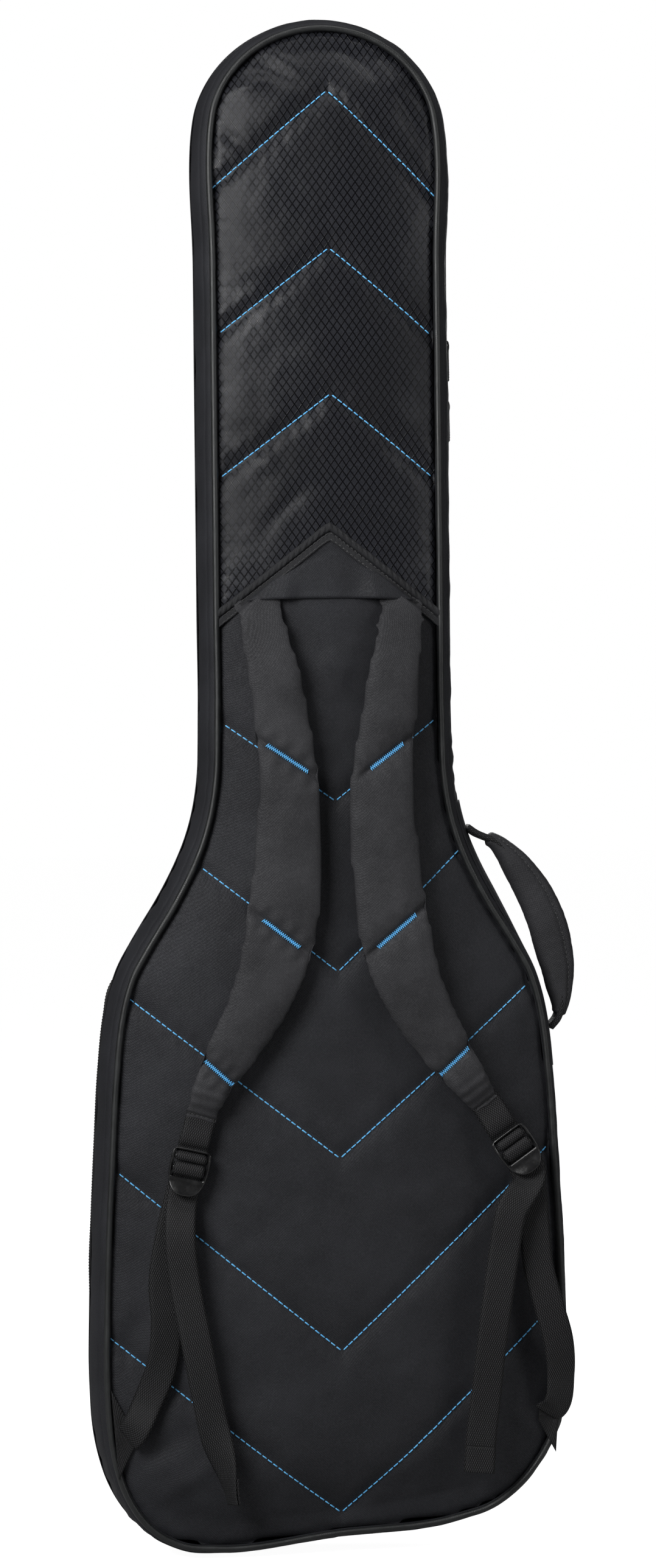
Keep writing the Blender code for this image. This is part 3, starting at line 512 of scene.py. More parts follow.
def embossed(name, colour):
    """Rubberised guard sheet: small raised dots in a staggered grid."""
    shade = Shade(name, colour, Roughness=0.55)
    spot = shade.place()
    x, y, z = shade.split(spot)
    run = shade.math("ADD", x, y)
    rows = shade.math("COSINE", shade.math("MULTIPLY", run, math.pi / 0.0035))
    dots = shade.math("COSINE", shade.math("MULTIPLY", z, math.pi / 0.0035))
    studs = shade.ramp(shade.math("MULTIPLY", rows, dots), 0.3, 0.8, 0.0, 1.0)
    scuffs = shade.noise(spot, 120, 4.0, 0.7)
    shade.set("Base Color", shade.blend(scuffs, colour, tuple(3 * part for part in colour)))
    shade.set("Roughness", shade.ramp(scuffs, 0.3, 0.7, 0.45, 0.68))
    shade.bump(shade.math("MULTIPLY_ADD", scuffs, 0.2, studs), 0.0006, 0.8)
    return shade.material


# the light tones are partly painted highlight on weave crests and webbing floats, partly random flecks and
# patches
CLOTH, CLOTH_LIGHT = (0.0085, 0.0088, 0.0110), (0.027, 0.028, 0.033)
PAD_CLOTH, PAD_LIGHT = (0.0135, 0.0135, 0.0155), (0.044, 0.044, 0.048)
WEB, WEB_LIGHT = (0.0022, 0.0022, 0.0025), (0.052, 0.052, 0.055)
looks = {
    "panel_cloth": woven("panel_cloth", CLOTH, CLOTH_LIGHT, Roughness=0.70, Specular_IOR_Level=0.30),
    "wall_cloth": woven("wall_cloth", CLOTH, CLOTH_LIGHT, attribute="weave", Roughness=0.70,
                        Specular_IOR_Level=0.30),
    "pad_cloth": woven("pad_cloth", PAD_CLOTH, PAD_LIGHT, dusty=0.5, Roughness=0.74,
                       Specular_IOR_Level=0.32),
    "grip_cloth": woven("grip_cloth", PAD_CLOTH, PAD_LIGHT, attribute="weave", Roughness=0.74,
                        Specular_IOR_Level=0.32),
    "ripstop": ripstop("coated_ripstop"),
    "piping": coated("piping_cloth", (0.0085, 0.0095, 0.0098), 0.44),
    "binding": ribbed_tape("binding_tape", (0.0060, 0.0060, 0.0072), (0.028, 0.029, 0.032)),
    "webbing": webbing_cloth("strap_webbing", WEB, WEB_LIGHT),
    "buckle": moulded("buckle_plastic", (0.0075, 0.0075, 0.0080), 0.26,
                      Specular_IOR_Level=0.6),
    "zip_tape": ribbed_tape("zip_tape_cloth", (0.0060, 0.0060, 0.0068), (0.022, 0.022, 0.024), 0.0008),
    "zip_coil": moulded("zip_coil_nylon", (0.0080, 0.0080, 0.0085), 0.38),
    "zip_metal": moulded("slider_enamel", (0.0200, 0.0200, 0.0210), 0.30, Metallic=0.6),
    "pull": moulded("pull_rubber", (0.0090, 0.0090, 0.0095), 0.60),
    "lining": plush("plush_lining", (0.050, 0.051, 0.056), (0.130, 0.132, 0.140)),
    "guard": embossed("guard_rubber", (0.0090, 0.0090, 0.0100)),
    "blue_thread": thread_cloth("blue_thread", (0.050, 0.400, 0.950), (0.240, 0.720, 1.000)),
    "black_thread": thread_cloth("black_thread", (0.0080, 0.0080, 0.0090), (0.035, 0.035, 0.038)),
}


# ------------------------------------------------------------------ making pieces
def finish_piece(obj, look, body, replaced=()):
    """Gives a piece its material and body, and hides the CAD nodes it stands for."""
    obj.data.materials.clear()
    obj.data.materials.append(looks[look])
    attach(obj, body)
    if replaced:
        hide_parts(*replaced)
    return obj


def mesh_object(name, points, faces, weave=None):
    """An object of points in bag coordinates. weave holds, for each corner of each face,
    the distances along and across the piece."""
    mesh = bpy.data.meshes.new(name)
    mesh.from_pydata((np.asarray(points, float) + OFFSET).tolist(), [], faces)
    if weave is not None:
        layer = mesh.uv_layers.new(name="weave")
        layer.data.foreach_set("uv", np.asarray(weave, np.float32).ravel())
    mesh.update()
    mesh.shade_smooth()
    return add_object(name, mesh)


def volume(points, faces):
    """Six times the volume within closed faces, negative where they face inwards."""
    fans = np.array([(face[0], b, c) for face in faces for b, c in zip(face[1:-1], face[2:])])
    return (points[fans[:, 0]] * np.cross(points[fans[:, 1]], points[fans[:, 2]])).sum()


def loft(name, rings, loop=False):
    """A skin over rings of points, each ring closed. The ends are capped, unless the run
    of rings closes on itself."""
    rings = np.asarray(rings, float)
    runs, sides = rings.shape[:2]
    points = rings.reshape(-1, 3)
    run_steps = np.linalg.norm(np.diff(rings, axis=0), axis=2).mean(axis=1)
    run = np.concatenate([[0], np.cumsum(run_steps)])
    side_steps = np.linalg.norm(np.roll(rings, -1, axis=1) - rings, axis=2).mean(axis=0)
    side = np.concatenate([[0], np.cumsum(side_steps)])
    run = np.append(run, run[-1] + np.linalg.norm(rings[0] - rings[-1], axis=1).mean())
    faces, weave = [], []
    for i in range(runs if loop else runs - 1):
        j = (i + 1) % runs
        for k in range(sides):
            m = (k + 1) % sides
            faces.append((i * sides + k, i * sides + m, j * sides + m, j * sides + k))
            weave += [(run[i], side[k]), (run[i], side[k + 1]),
                      (run[i + 1], side[k + 1]), (run[i + 1], side[k])]
    if not loop:
        for i, order in ((0, -1), (runs - 1, 1)):
            cap = list(range(i * sides, (i + 1) * sides))[::order]
            faces.append(tuple(cap))
            weave += [(run[i], side[c % sides]) for c in cap]
    if volume(points, faces) < 0:
        turned, start = [], 0
        for face in faces:
            turned += weave[start : start + len(face)][::-1]
            start += len(face)
        faces, weave = [face[::-1] for face in faces], turned
    return mesh_object(name, points, faces, weave)


def shell(name, outer, inner, loop=False):
    """A closed sheet between an outer and an inner grid of points (runs x columns)."""
    rings = np.concatenate([outer, inner[:, ::-1]], axis=1)
    return loft(name, rings, loop)


def apply_modifiers(obj):
    graph = bpy.context.evaluated_depsgraph_get()
    graph.update()
    mesh = bpy.data.meshes.new_from_object(obj.evaluated_get(graph))
    obj.modifiers.clear()
    old = obj.data
    obj.data = mesh
    bpy.data.meshes.remove(old)
    mesh.name = obj.name
    mesh.shade_smooth()
    return obj


def voxel_remesh(obj, size):
    remesh = obj.modifiers.new("voxels", "REMESH")
    remesh.mode = "VOXEL"
    remesh.voxel_size = size
    return apply_modifiers(obj)


def soften(obj, rounds):
    """Evens out the steps that a remesh leaves along slanting edges."""
    smooth = obj.modifiers.new("soften", "SMOOTH")
    smooth.factor, smooth.iterations = 0.5, rounds
    return apply_modifiers(obj)


def subdivide(obj, levels=1):
    modifier = obj.modifiers.new("smooth", "SUBSURF")
    modifier.levels = modifier.render_levels = levels
    return apply_modifiers(obj)


def coordinates(obj):
    """The vertices in bag coordinates."""
    co = np.empty(len(obj.data.vertices) * 3)
    obj.data.vertices.foreach_get("co", co)
    return co.reshape(-1, 3) - OFFSET


def normals(obj):
    found = np.empty(len(obj.data.vertices) * 3)
    obj.data.vertices.foreach_get("normal", found)
    return found.reshape(-1, 3)


def move_to(obj, points):
    obj.data.vertices.foreach_set("co", (points + OFFSET).ravel())
    obj.data.update()


def stuff(obj, held, cap, pressure=4.0, frames=20):
    """Swells the piece like stuffed cloth by simulation. held is 1 where it is sewn down,
    and no point moves further than cap."""
    rest = coordinates(obj)
    group = obj.vertex_groups.new(name="held")
    for index in np.flatnonzero(held > 0.01):
        group.add([int(index)], float(min(held[index], 1)), "REPLACE")
    cloth = obj.modifiers.new("stuffing", "CLOTH")
    settings = cloth.settings
    settings.quality = 5
    settings.mass = 0.3
    settings.tension_stiffness = settings.compression_stiffness = 14
    settings.shear_stiffness = 5
    settings.bending_stiffness = 0.35
    settings.use_pressure = True
    settings.uniform_pressure_force = pressure
    settings.vertex_group_mass = "held"
    settings.effector_weights.gravity = 0
    cloth.collision_settings.use_collision = False
    cloth.point_cache.frame_start, cloth.point_cache.frame_end = 1, frames
    scene = bpy.context.scene
    for step in range(1, frames + 1):
        scene.frame_set(step)
    apply_modifiers(obj)
    obj.vertex_groups.clear()
    scene.frame_set(1)
    moved = coordinates(obj) - rest
    length = np.maximum(np.linalg.norm(moved, axis=1), 1e-9)
    move_to(obj, rest + moved * np.minimum(1, cap / length)[:, None])
    return obj


class Surface:
    """A made piece's surface as seen along Y, for what is sewn onto it."""

    def __init__(self, *objects, side=-1):
        vertices, faces = [], []
        for obj in objects:
            start = len(vertices)
            vertices += [Vector(p) for p in coordinates(obj)]
            faces += [[start + v for v in face.vertices] for face in obj.data.polygons]
        self.tree = BVHTree.FromPolygons(vertices, faces)
        self.side = side

    def hit(self, x, z):
        """The surface's point and outward normal at x and z, or None past its edge."""
        found = self.tree.ray_cast(Vector((x, 0.3 * self.side, z)), Vector((0, -self.side, 0)))
        if found[0] is None:
            return None
        normal = found[1] if found[1].y * self.side > 0 else -found[1]
        return found[0], normal

    def y(self, x, z, otherwise):
        found = self.hit(x, z)
        return found[0].y if found else otherwise


def ring_round(centre, u, v, radii, sides):
    turns = np.linspace(0, 2 * math.pi, sides, endpoint=False)
    return centre + np.outer(np.cos(turns) * radii[0], u) + np.outer(np.sin(turns) * radii[1], v)


def tube(name, path, radius, sides=8, loop=False):
    """A round tube along a path. radius is one number or one for each point."""
    path = np.asarray(path, float)
    radius = np.broadcast_to(radius, len(path))
    if loop:
        along = np.roll(path, -1, axis=0) - np.roll(path, 1, axis=0)
    else:
        along = np.gradient(path, axis=0)
    along /= np.maximum(np.linalg.norm(along, axis=1), 1e-12)[:, None]
    side = np.cross(along[0], (0.0, 1.0, 0.0))
    if np.linalg.norm(side) < 0.2:
        side = np.cross(along[0], (1.0, 0.0, 0.0))
    rings = []
    for point, ahead, size in zip(path, along, radius):
        side = side - ahead * np.dot(side, ahead)
        side /= np.linalg.norm(side)
        rings.append(ring_round(point, side, np.cross(ahead, side), (size, size), sides))
    return loft(name, rings, loop)


# ------------------------------------------------------------------ stitching
STITCH, STITCH_GAP, THREAD_RADIUS = 0.0048, 0.0007, 0.00055


def stitch(points, faces, start, end, normal, radius):
    """Adds one stitch, a thread that dives into the cloth at both ends."""
    run = end - start
    side = run.cross(normal).normalized()
    first = len(points)
    for share, lift, size in ((0, -0.5, 0.5), (0.14, 0.55, 1), (0.86, 0.55, 1), (1, -0.5, 0.5)):
        centre = start + run * share + normal * lift * radius
        for turn in range(6):
            angle = math.pi / 3 * turn
            offset = side * math.cos(angle) + normal * math.sin(angle)
            points.append(centre + offset * radius * size)
    for ring in range(3):
        for turn in range(6):
            a, b = first + ring * 6 + turn, first + ring * 6 + (turn + 1) % 6
            faces.append((a, a + 6, b + 6, b))
    faces.append(tuple(first + turn for turn in range(6)))
    faces.append(tuple(first + 18 + turn for turn in reversed(range(6))))


def seam(name, paths, surface, look, body, radius=THREAD_RADIUS, length=STITCH,
         gap=STITCH_GAP, lift=0.0):
    """Rows of stitches over a surface, each path a list of (x, z)."""
    points, faces = [], []
    for path in paths:
        total = np.linalg.norm(np.diff(np.array(path, float), axis=0), axis=1).sum()
        count = max(1, round(total / (length + gap)))
        marks = spline(path, 2 * count + 1)
        pitch = total / count
        for i in range(count):
            start, half = marks[2 * i], (marks[2 * i + 2] - marks[2 * i]) * (length / pitch)
            found = [surface.hit(*start), surface.hit(*(start + half))]
            if None in found:
                continue
            normal = (found[0][1] + found[1][1]).normalized()
            raised = normal * lift
            stitch(points, faces, found[0][0] + raised, found[1][0] + raised, normal, radius)
    obj = mesh_object(name, [tuple(p) for p in points], faces)
    return finish_piece(obj, look, body)


def zigzag(name, start, end, surface, look, slot, body, width=0.0042, pitch=0.0017):
    """A bar-tack: one thread zigzagging close along a line."""
    start, end = np.array(start), np.array(end)
    run = end - start
    length = np.linalg.norm(run)
    along, across = run / length, np.array([-run[1], run[0]]) / length
    turns = round(length / pitch * 2)
    path = []
    for i in range(turns + 1):
        for share in (0.0, 0.5):
            swing = (1 if i % 2 else -1) * (1 - 2 * share)
            spot = start + along * length * min((i + share) / turns, 1) + across * swing * width / 2
            found = surface.hit(*spot)
            if found:
                path.append(found[0] + found[1] * (0.0005 + 0.0003 * share))
    return finish_piece(tube(name, path, 0.00042, 5), look, body)


# ------------------------------------------------------------------ padded panels
def line_height(x, line):
    """The height of a quilting line at x. It turns up a little at the panel's edges."""
    apex, left, right = line
    x = np.asarray(x, float) - APEX_X
    ends = np.where(x < 0, left, right)
    edge = outline.half_width(ends, PANEL_INSET) + np.where(x < 0, APEX_X, -APEX_X)
    share = np.clip(np.abs(x) / edge, 0, 1.02)
    upturn = 0.05 * (ends - apex) * bell(1 - share, 0.06)
    return apex + (ends - apex) * (share - 0.05 * bell(1 - share, 0.06)) + upturn


def line_distance(points, line):
    slope = abs(line[1] - line[0]) / outline.half_width(line[1], PANEL_INSET)
    return np.abs(points[:, 2] - line_height(points[:, 0], line)) / math.hypot(1, slope)


def seam_z(x):
    return mix(SEAM_APEX_Z, SEAM_END_Z, np.minimum(np.abs(x) / NECK_HALF_WIDTH, 1))


def panel_base(name, low, high, crown, side, sink, top_seam=False, bottom_seam=False):
    """A closed padded slab over the outline between two heights, side -1 on the back.
    Its domed face starts sink inside the finished one."""
    rows = max(24, round((high - low) / 0.010))
    columns = 40
    outer, inner = [], []
    lean = np.linspace(0, 1, rows + 1)
    heights = low + (high - low) * lean
    if high > HEAD_SPRING_Z:
        arc = np.linspace(0, math.pi / 2, 26)[:-1]
        radius = high - HEAD_SPRING_Z
        heights = np.concatenate(
            [np.linspace(low, HEAD_SPRING_Z, rows + 1)[:-1], HEAD_SPRING_Z + radius * np.sin(arc)]
        )
    for z in heights:
        width = float(outline.half_width(z, PANEL_INSET))
        x = width * np.sin(np.linspace(-math.pi / 2, math.pi / 2, columns + 1))
        bent = np.full_like(x, z)
        if top_seam:
            bent += ease(z, 0.60, SEAM_END_Z) * (seam_z(x) - SEAM_END_Z)
        if bottom_seam:
            bent += (1 - ease(z, SEAM_END_Z, 0.95)) * (seam_z(x) - SEAM_END_Z)
        face = HALF_DEPTH - 0.0005 + np.maximum(dome(x, bent, crown) - sink, 0)
        back = np.maximum(face - PANEL_THICKNESS, HALF_DEPTH - 0.0075)
        outer.append(np.stack([x, side * face, bent], axis=1))
        inner.append(np.stack([x, side * back, bent], axis=1))
    return shell(name, settle(np.array(outer)), settle(np.array(inner)))


def lining_face(x, z, crown):
    """The depth of a lining's outward face, before its small waves."""
    return HALF_DEPTH - 0.0098 + np.maximum(dome(x, z, crown) - 0.0016, 0)


def off_the_lining(points, crown, side):
    """Keeps a panel's padding on its own side of the lining behind it."""
    limit = lining_face(points[:, 0], unsettle_z(points[:, 0], points[:, 2]), crown) + LINING_CLEAR
    points[:, 1] = side * np.maximum(side * points[:, 1], limit)
    return points


def quilted_panel(base, side, lines, voxel, cap, groove, pucker):
    """Remeshes, stuffs and finishes a padded panel, with its quilting sewn in."""
    obj = voxel_remesh(base, voxel)
    points = coordinates(obj)
    flat = np.stack([points[:, 0], unsettle_z(points[:, 0], points[:, 2])], axis=1)
    depth, _ = outline.nearest(flat)
    outside = side * normals(obj)[:, 1] > 0.2
    held = np.maximum(~outside * 1.0, bell(np.maximum(depth - PANEL_INSET, 0), 0.006))
    for line in lines:
        held = np.maximum(held, bell(line_distance(points, line), 0.0035))
    stuff(obj, held, cap)
    subdivide(obj)
    points = coordinates(obj)
    facing = ease(side * normals(obj)[:, 1], 0.1, 0.6)
    flat = np.stack([points[:, 0], unsettle_z(points[:, 0], points[:, 2])], axis=1)
    depth, mark = outline.nearest(flat)
    depth = depth - PANEL_INSET
    sunk = np.zeros(len(points))
    wave = lumps(points * (1, 0, 1), 0.016, 4.0)
    for line in lines:
        away = line_distance(points, line)
        gather = np.sin(points[:, 0] * 2 * math.pi / 0.0115 + 2.2 * wave)
        sunk += groove * bell(away, 0.0075) + 0.35 * groove * bell(away, 0.0022)
        sunk += pucker * gather * bell(away, 0.0085) * (1 - bell(away, 0.0018))
    edge_gather = np.sin(mark * 2 * math.pi / 0.013 + 2.5 * wave)
    sunk += 0.8 * pucker * edge_gather * bell(depth, 0.010)
    sunk += 0.0010 * bell(depth - 0.0040, 0.0025)
    ripple = lumps(points * (1, 0, 1), 0.055, 9.0) * 0.0011 + wave * 0.00035
    sunk += ripple * (1 - bell(depth, 0.010))
    points[:, 1] -= side * sunk * facing
    move_to(obj, points)
    return obj


def fold(points, strokes, side):
    """Presses or raises long soft folds in a panel. Each stroke is its two ends as
    (x, z), its half-width and its depth; a negative depth raises a ridge."""
    moved = np.zeros(len(points))
    flat = points[:, [0, 2]]
    for (xa, za), (xb, zb), width, depth in strokes:
        start, run = np.array([xa, za]), np.array([xb - xa, zb - za])
        share = np.clip((flat - start) @ run / (run @ run), 0, 1)
        away = np.linalg.norm(flat - (start + share[:, None] * run), axis=1)
        moved += depth * bell(away, width) * (0.35 + 0.65 * np.sin(math.pi * share))
    points[:, 1] -= side * moved
    return points


HEAD_FOLDS = [
    ((-0.060, 1.214), (-0.022, 1.196), 0.006, 0.0030), ((-0.078, 1.190), (-0.046, 1.200), 0.006, -0.0026),
    ((-0.046, 1.226), (-0.020, 1.208), 0.004, -0.0018), ((0.018, 1.226), (0.048, 1.202), 0.006, 0.0026),
    ((0.040, 1.214), (0.074, 1.184), 0.006, -0.0030), ((0.060, 1.190), (0.082, 1.150), 0.005, 0.0020),
    ((-0.084, 1.160), (-0.062, 1.140), 0.005, 0.0018), ((-0.030, 0.985), (0.020, 0.962), 0.010, -0.0014),
    ((-0.070, 1.030), (-0.020, 1.045), 0.008, 0.0014), ((0.030, 0.930), (0.070, 0.905), 0.007, 0.0016),
    ((-0.080, 0.905), (-0.040, 0.880), 0.007, -0.0016), ((0.000, 0.862), (0.050, 0.850), 0.008, -0.0016),
    ((-0.052, 0.836), (-0.020, 0.868), 0.006, 0.0016),
]
BODY_FOLDS = [
    ((-0.165, 0.075), (-0.120, 0.110), 0.008, 0.0024), ((-0.150, 0.050), (-0.090, 0.085), 0.008, -0.0020),
    ((0.160, 0.085), (0.120, 0.120), 0.008, 0.0024), ((0.140, 0.055), (0.090, 0.090), 0.008, -0.0020),
    ((0.172, 0.150), (0.150, 0.215), 0.009, 0.0016), ((-0.174, 0.160), (-0.150, 0.220), 0.009, 0.0016),
    ((-0.095, 0.580), (-0.060, 0.540), 0.009, 0.0016), ((0.090, 0.600), (0.062, 0.560), 0.009, 0.0016),
    ((-0.010, 0.730), (0.020, 0.720), 0.014, -0.0030), ((-0.020, 0.755), (0.025, 0.700), 0.010, 0.0022),
]


def back_panel(low, high, lines, folds, voxel, groove, pucker, finish, **seams):
    """One of the back's two quilted panels. finish is its name, look, slot and CAD node; the slot is not
    used.
    """
    name, look, slot, node = finish
    base = panel_base(name, low, high, BACK_CROWN, -1, 0.003, **seams)
    panel = quilted_panel(base, -1, lines, voxel, PANEL_CAP, groove, pucker)
    move_to(panel, off_the_lining(fold(coordinates(panel), folds, -1), BACK_CROWN, -1))
    finish_piece(panel, look, "back_shell", [node])
    return panel


def back_panels():
    upper = back_panel(SEAM_END_Z, TOP[1] - PANEL_INSET, UPPER_QUILTING, HEAD_FOLDS, 0.005, 0.0028,
                       0.00055, ("upper_back_panel_quilt", "ripstop", "ripstop", "upper_back_panel"),
                       bottom_seam=True)
    lower = back_panel(BASE_Z + PANEL_INSET, SEAM_END_Z, LOWER_QUILTING, BODY_FOLDS, 0.006, 0.0020,
                       0.00035, ("lower_back_panel_quilt", "panel_cloth", "panel_fabric",
                                 "lower_back_panel"), top_seam=True)
    return Surface(upper, lower)


def quilting(surface):
    for number, line in enumerate(UPPER_QUILTING + LOWER_QUILTING, 1):
        paths = []
        for sign, end in ((-1, line[1]), (1, line[2])):
            edge = float(outline.half_width(end, PANEL_INSET)) - 0.001
            x = np.linspace(APEX_X + 0.0012 * sign, edge * sign, 24)
            paths.append(list(zip(x, line_height(x, line))))
        seam(f"quilting_thread_{number}", paths, surface, "blue_thread", "back_shell")


# ------------------------------------------------------------------ side walls and piping
WALL_COLUMNS = [0, 0.0012, 0.0026, 0.0042, 0.0062, 0.0080, 0.0092, 0.0104, 0.0125]
BENDS = [("left", 0.640, 0.050), ("right", 0.640, 0.045), ("left", 0.075, 0.050),
         ("right", 0.085, 0.050), ("left", 0.520, 0.045), ("right", 0.520, 0.045)]


def bend_wrinkles(marks, across, width):
    """Short wrinkles across the side wall where the outline bends."""
    moved = np.zeros(np.broadcast(marks, across).shape)
    for number, (side, height, reach) in enumerate(BENDS):
        centre = outline.right(height) if side == "right" else outline.left(height)
        near = bell(marks - centre, reach)
        wave = np.sin((marks - centre) * 2 * math.pi / 0.017 + 2.1 * np.sin(across * 110 + number))
        moved = moved + 0.0007 * near * wave * np.sin(math.pi * np.clip(across / width, 0, 1))
    return moved


def wall(name, near_y, far_y, nodes, body, seed):
    """One half of the side wall, from its piping at near_y to the zip at far_y."""
    width = abs(far_y - near_y)
    sign = 1 if far_y > near_y else -1
    middle_columns = np.linspace(0.0125, width - 0.0052, 8 if width > 0.03 else 4)[1:]
    columns = [*WALL_COLUMNS, *middle_columns, width - 0.0036, width - 0.0022, width - 0.0008, width]
    across = np.array(columns)
    marks = outline.marks
    points, out = outline.at(marks)
    y = near_y + sign * across
    grid_marks, grid_across = np.meshgrid(marks, across, indexing="ij")
    flange = -0.0022 * bell(across, 0.0016) + 0.0006 * bell(across - 0.0052, 0.0026)
    flange = flange - 0.0016 * bell(across - 0.0092, 0.0011)
    hem = -0.0012 * bell(width - across - 0.0042, 0.0009)
    inner_share = np.sin(math.pi * np.clip(across / width, 0, 1)) ** 0.5
    spots = np.stack([grid_marks, grid_across, np.full_like(grid_marks, seed)], axis=-1)
    rough = lumps(spots.reshape(-1, 3), 0.045, seed).reshape(grid_marks.shape) * 0.0011
    fine = lumps(spots.reshape(-1, 3), 0.013, seed + 3).reshape(grid_marks.shape) * 0.00035
    lift = swell(y[None, :], points[:, 1:2], points[:, :1]) + flange + hem
    lift = lift + (rough + fine) * inner_share + bend_wrinkles(grid_marks, grid_across, width)
    outer = np.empty((len(marks), len(across), 3))
    outer[..., 0] = points[:, :1] + out[:, :1] * lift
    outer[..., 2] = points[:, 1:2] + out[:, 1:2] * lift
    outer[..., 1] = y
    inner = outer.copy()
    rounding = GUSSET_THICKNESS * np.clip(np.minimum(across, width - across) / 0.0012, 0.3, 1)
    inner[..., 0] -= out[:, :1] * rounding
    inner[..., 2] -= out[:, 1:2] * rounding
    obj = shell(name, settle(outer), settle(inner), loop=True)
    finish_piece(obj, "wall_cloth", body, nodes)
    return obj


def piping(name, y, node, body, ring=outline, radius=PIPING_RADIUS, sag=settle, seed=1.0):
    count = ring.count if ring.count % 2 == 0 else ring.count + 1
    marks = np.linspace(0, ring.length, count * 2, endpoint=False)
    points, out = ring.at(marks)
    centre = points - out * (radius + 0.0002)
    path = np.stack([centre[:, 0], np.full(len(marks), y), centre[:, 1]], axis=1)
    size = radius * (1 + 0.05 * lumps(path, 0.010, seed) + 0.03 * lumps(path, 0.0035, seed + 5))
    wander = lumps(path, 0.060, seed + 2) * 0.0004
    path[:, 1] += wander
    obj = tube(name, sag(path), size, 12, loop=True)
    return finish_piece(obj, "piping", body, [node])


def side_point(marks, y, lift):
    """Points on the side wall at distances along the outline and depths, raised by lift."""
    points, out = outline.at(marks)
    rise = swell(np.asarray(y), points[:, 1], points[:, 0]) + lift
    made = np.stack([points[:, 0] + out[:, 0] * rise, np.broadcast_to(y, len(points)),
                     points[:, 1] + out[:, 1] * rise], axis=1)
    return settle(made)


def strip(name, marks, depths, lift, thickness, bulge=0.0):
    """A flat strip on the side wall, with soft edges."""
    share = np.linspace(0, 1, 9)
    outer, inner = [], []
    for t in share:
        edge = thickness * (0.35 + 0.65 * np.sqrt(max(0.0, 1 - abs(2 * t - 1) ** 6)))
        edge += bulge * math.sin(math.pi * t)
        y = mix(*depths, t)
        outer.append(side_point(marks, y, lift + edge))
        inner.append(side_point(marks, y, lift))
    return shell(name, np.stack(outer, axis=1), np.stack(inner, axis=1))


HINGE_Z = (0.110, 0.440)
TAPE_HALF, TAPE_LIFT, TAPE_THICKNESS = 0.0125, 0.0004, 0.0011


def coil(name, marks, place, look, body, radius=0.0013, pitch=0.0024):
    """One side of a zip's coil: a bead with a ridge for each turn."""
    start, end = marks
    count = int((end - start) / pitch) * 2
    path = place(np.linspace(start, end, count))
    size = radius * np.where(np.arange(count) % 2, 1.0, 0.62)
    return finish_piece(tube(name, path, size, 6), look, body)


def main_zip():
    start, end = outline.right(HINGE_Z[1]), outline.right(HINGE_Z[0]) + outline.length
    marks = np.linspace(start, end, 620)
    for half, sign, body in (("back", -1, "back_shell"), ("front", 1, "lid")):
        near = SPLIT_Y + sign * 0.0006
        tape = strip(f"main_zip_{half}_tape", marks, (near, SPLIT_Y + sign * TAPE_HALF), TAPE_LIFT,
                     TAPE_THICKNESS)
        finish_piece(tape, "zip_tape", body, [f"main_zip_tape_{half}"])
        coil(f"main_zip_{half}_coil", (start, end),
             lambda m, s=sign: side_point(m, SPLIT_Y + s * 0.0019, TAPE_LIFT + 0.0014),
             "zip_coil", body)
    low, high = outline.right(HINGE_Z[0]) + 0.0006, outline.right(HINGE_Z[1]) - 0.0006
    hinge = strip("side_hinge_cloth", np.linspace(low, high, 90), (SPLIT_Y - 0.013, SPLIT_Y + 0.013),
                  0.0006, 0.0016, bulge=0.0016)
    finish_piece_blended(hinge, "binding", ["side_hinge_strip"])


def finish_piece_blended(obj, look, replaced):
    """Gives cloth where the lid hangs on the back shell its material, fixes it in place and hides the CAD
    nodes it stands for; it rides no body.
    """
    obj.data.materials.append(looks[look])
    centre = coordinates(obj).mean(axis=0) + OFFSET
    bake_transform(obj)
    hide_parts(*replaced)


# ------------------------------------------------------------------ front of the bag
POCKET_SIDE = [
    (0.100, 0.128), (0.150, 0.131), (0.176, 0.146), (0.187, 0.178), (0.190, 0.220),
    (0.188, 0.270), (0.185, 0.327), (0.181, 0.392), (0.176, 0.436), (0.171, 0.459),
    (0.160, 0.473), (0.145, 0.477), (0.100, 0.477),
]
pocket_outline = Outline([(0.0, 0.128), *POCKET_SIDE, (0.0, 0.477)], 420)
POCKET_BULGE, POCKET_WALL, POCKET_ZIP_END_Z = 0.004, 0.0028, 0.150


def keep(points):
    return np.asarray(points, float)


def pocket_rise(y):
    centre = (POCKET_INNER_Y + POCKET_OUTER_Y) / 2
    return POCKET_BULGE * (1 - ((y - centre) / ((POCKET_OUTER_Y - POCKET_INNER_Y) / 2)) ** 2)


def pocket_wall(name, low, high, nodes, body, seed):
    share = np.array([0, 0.06, 0.12, 0.22, 0.36, 0.52, 0.68, 0.80, 0.90, 0.96, 1.0])
    marks = pocket_outline.marks
    points, out = pocket_outline.at(marks)
    outer = np.empty((len(marks), len(share), 3))
    for column, t in enumerate(share):
        y = np.full(len(marks), mix(low, high, t))
        panel = HALF_DEPTH + dome(points[:, 0], points[:, 1], FRONT_CROWN) + 0.0012
        y = np.maximum(y, np.minimum(panel, high - 0.0005))
        spots = np.stack([marks, np.full(len(marks), t * 0.02), np.full(len(marks), seed)], axis=1)
        rise = pocket_rise(y) + lumps(spots, 0.030, seed) * 0.0011 * math.sin(math.pi * t)
        outer[:, column, 0] = points[:, 0] + out[:, 0] * rise
        outer[:, column, 2] = points[:, 1] + out[:, 1] * rise
        outer[:, column, 1] = y
    inner = outer.copy()
    inner[..., 0] -= out[:, :1] * POCKET_WALL
    inner[..., 2] -= out[:, 1:2] * POCKET_WALL
    obj = shell(name, outer, inner, loop=True)
    return finish_piece(obj, "wall_cloth", body, nodes)


def pocket_point(marks, y, lift):
    points, out = pocket_outline.at(marks)
    rise = pocket_rise(y) + lift
    return np.stack([points[:, 0] + out[:, 0] * rise, np.full(len(points), y),
                     points[:, 1] + out[:, 1] * rise], axis=1)


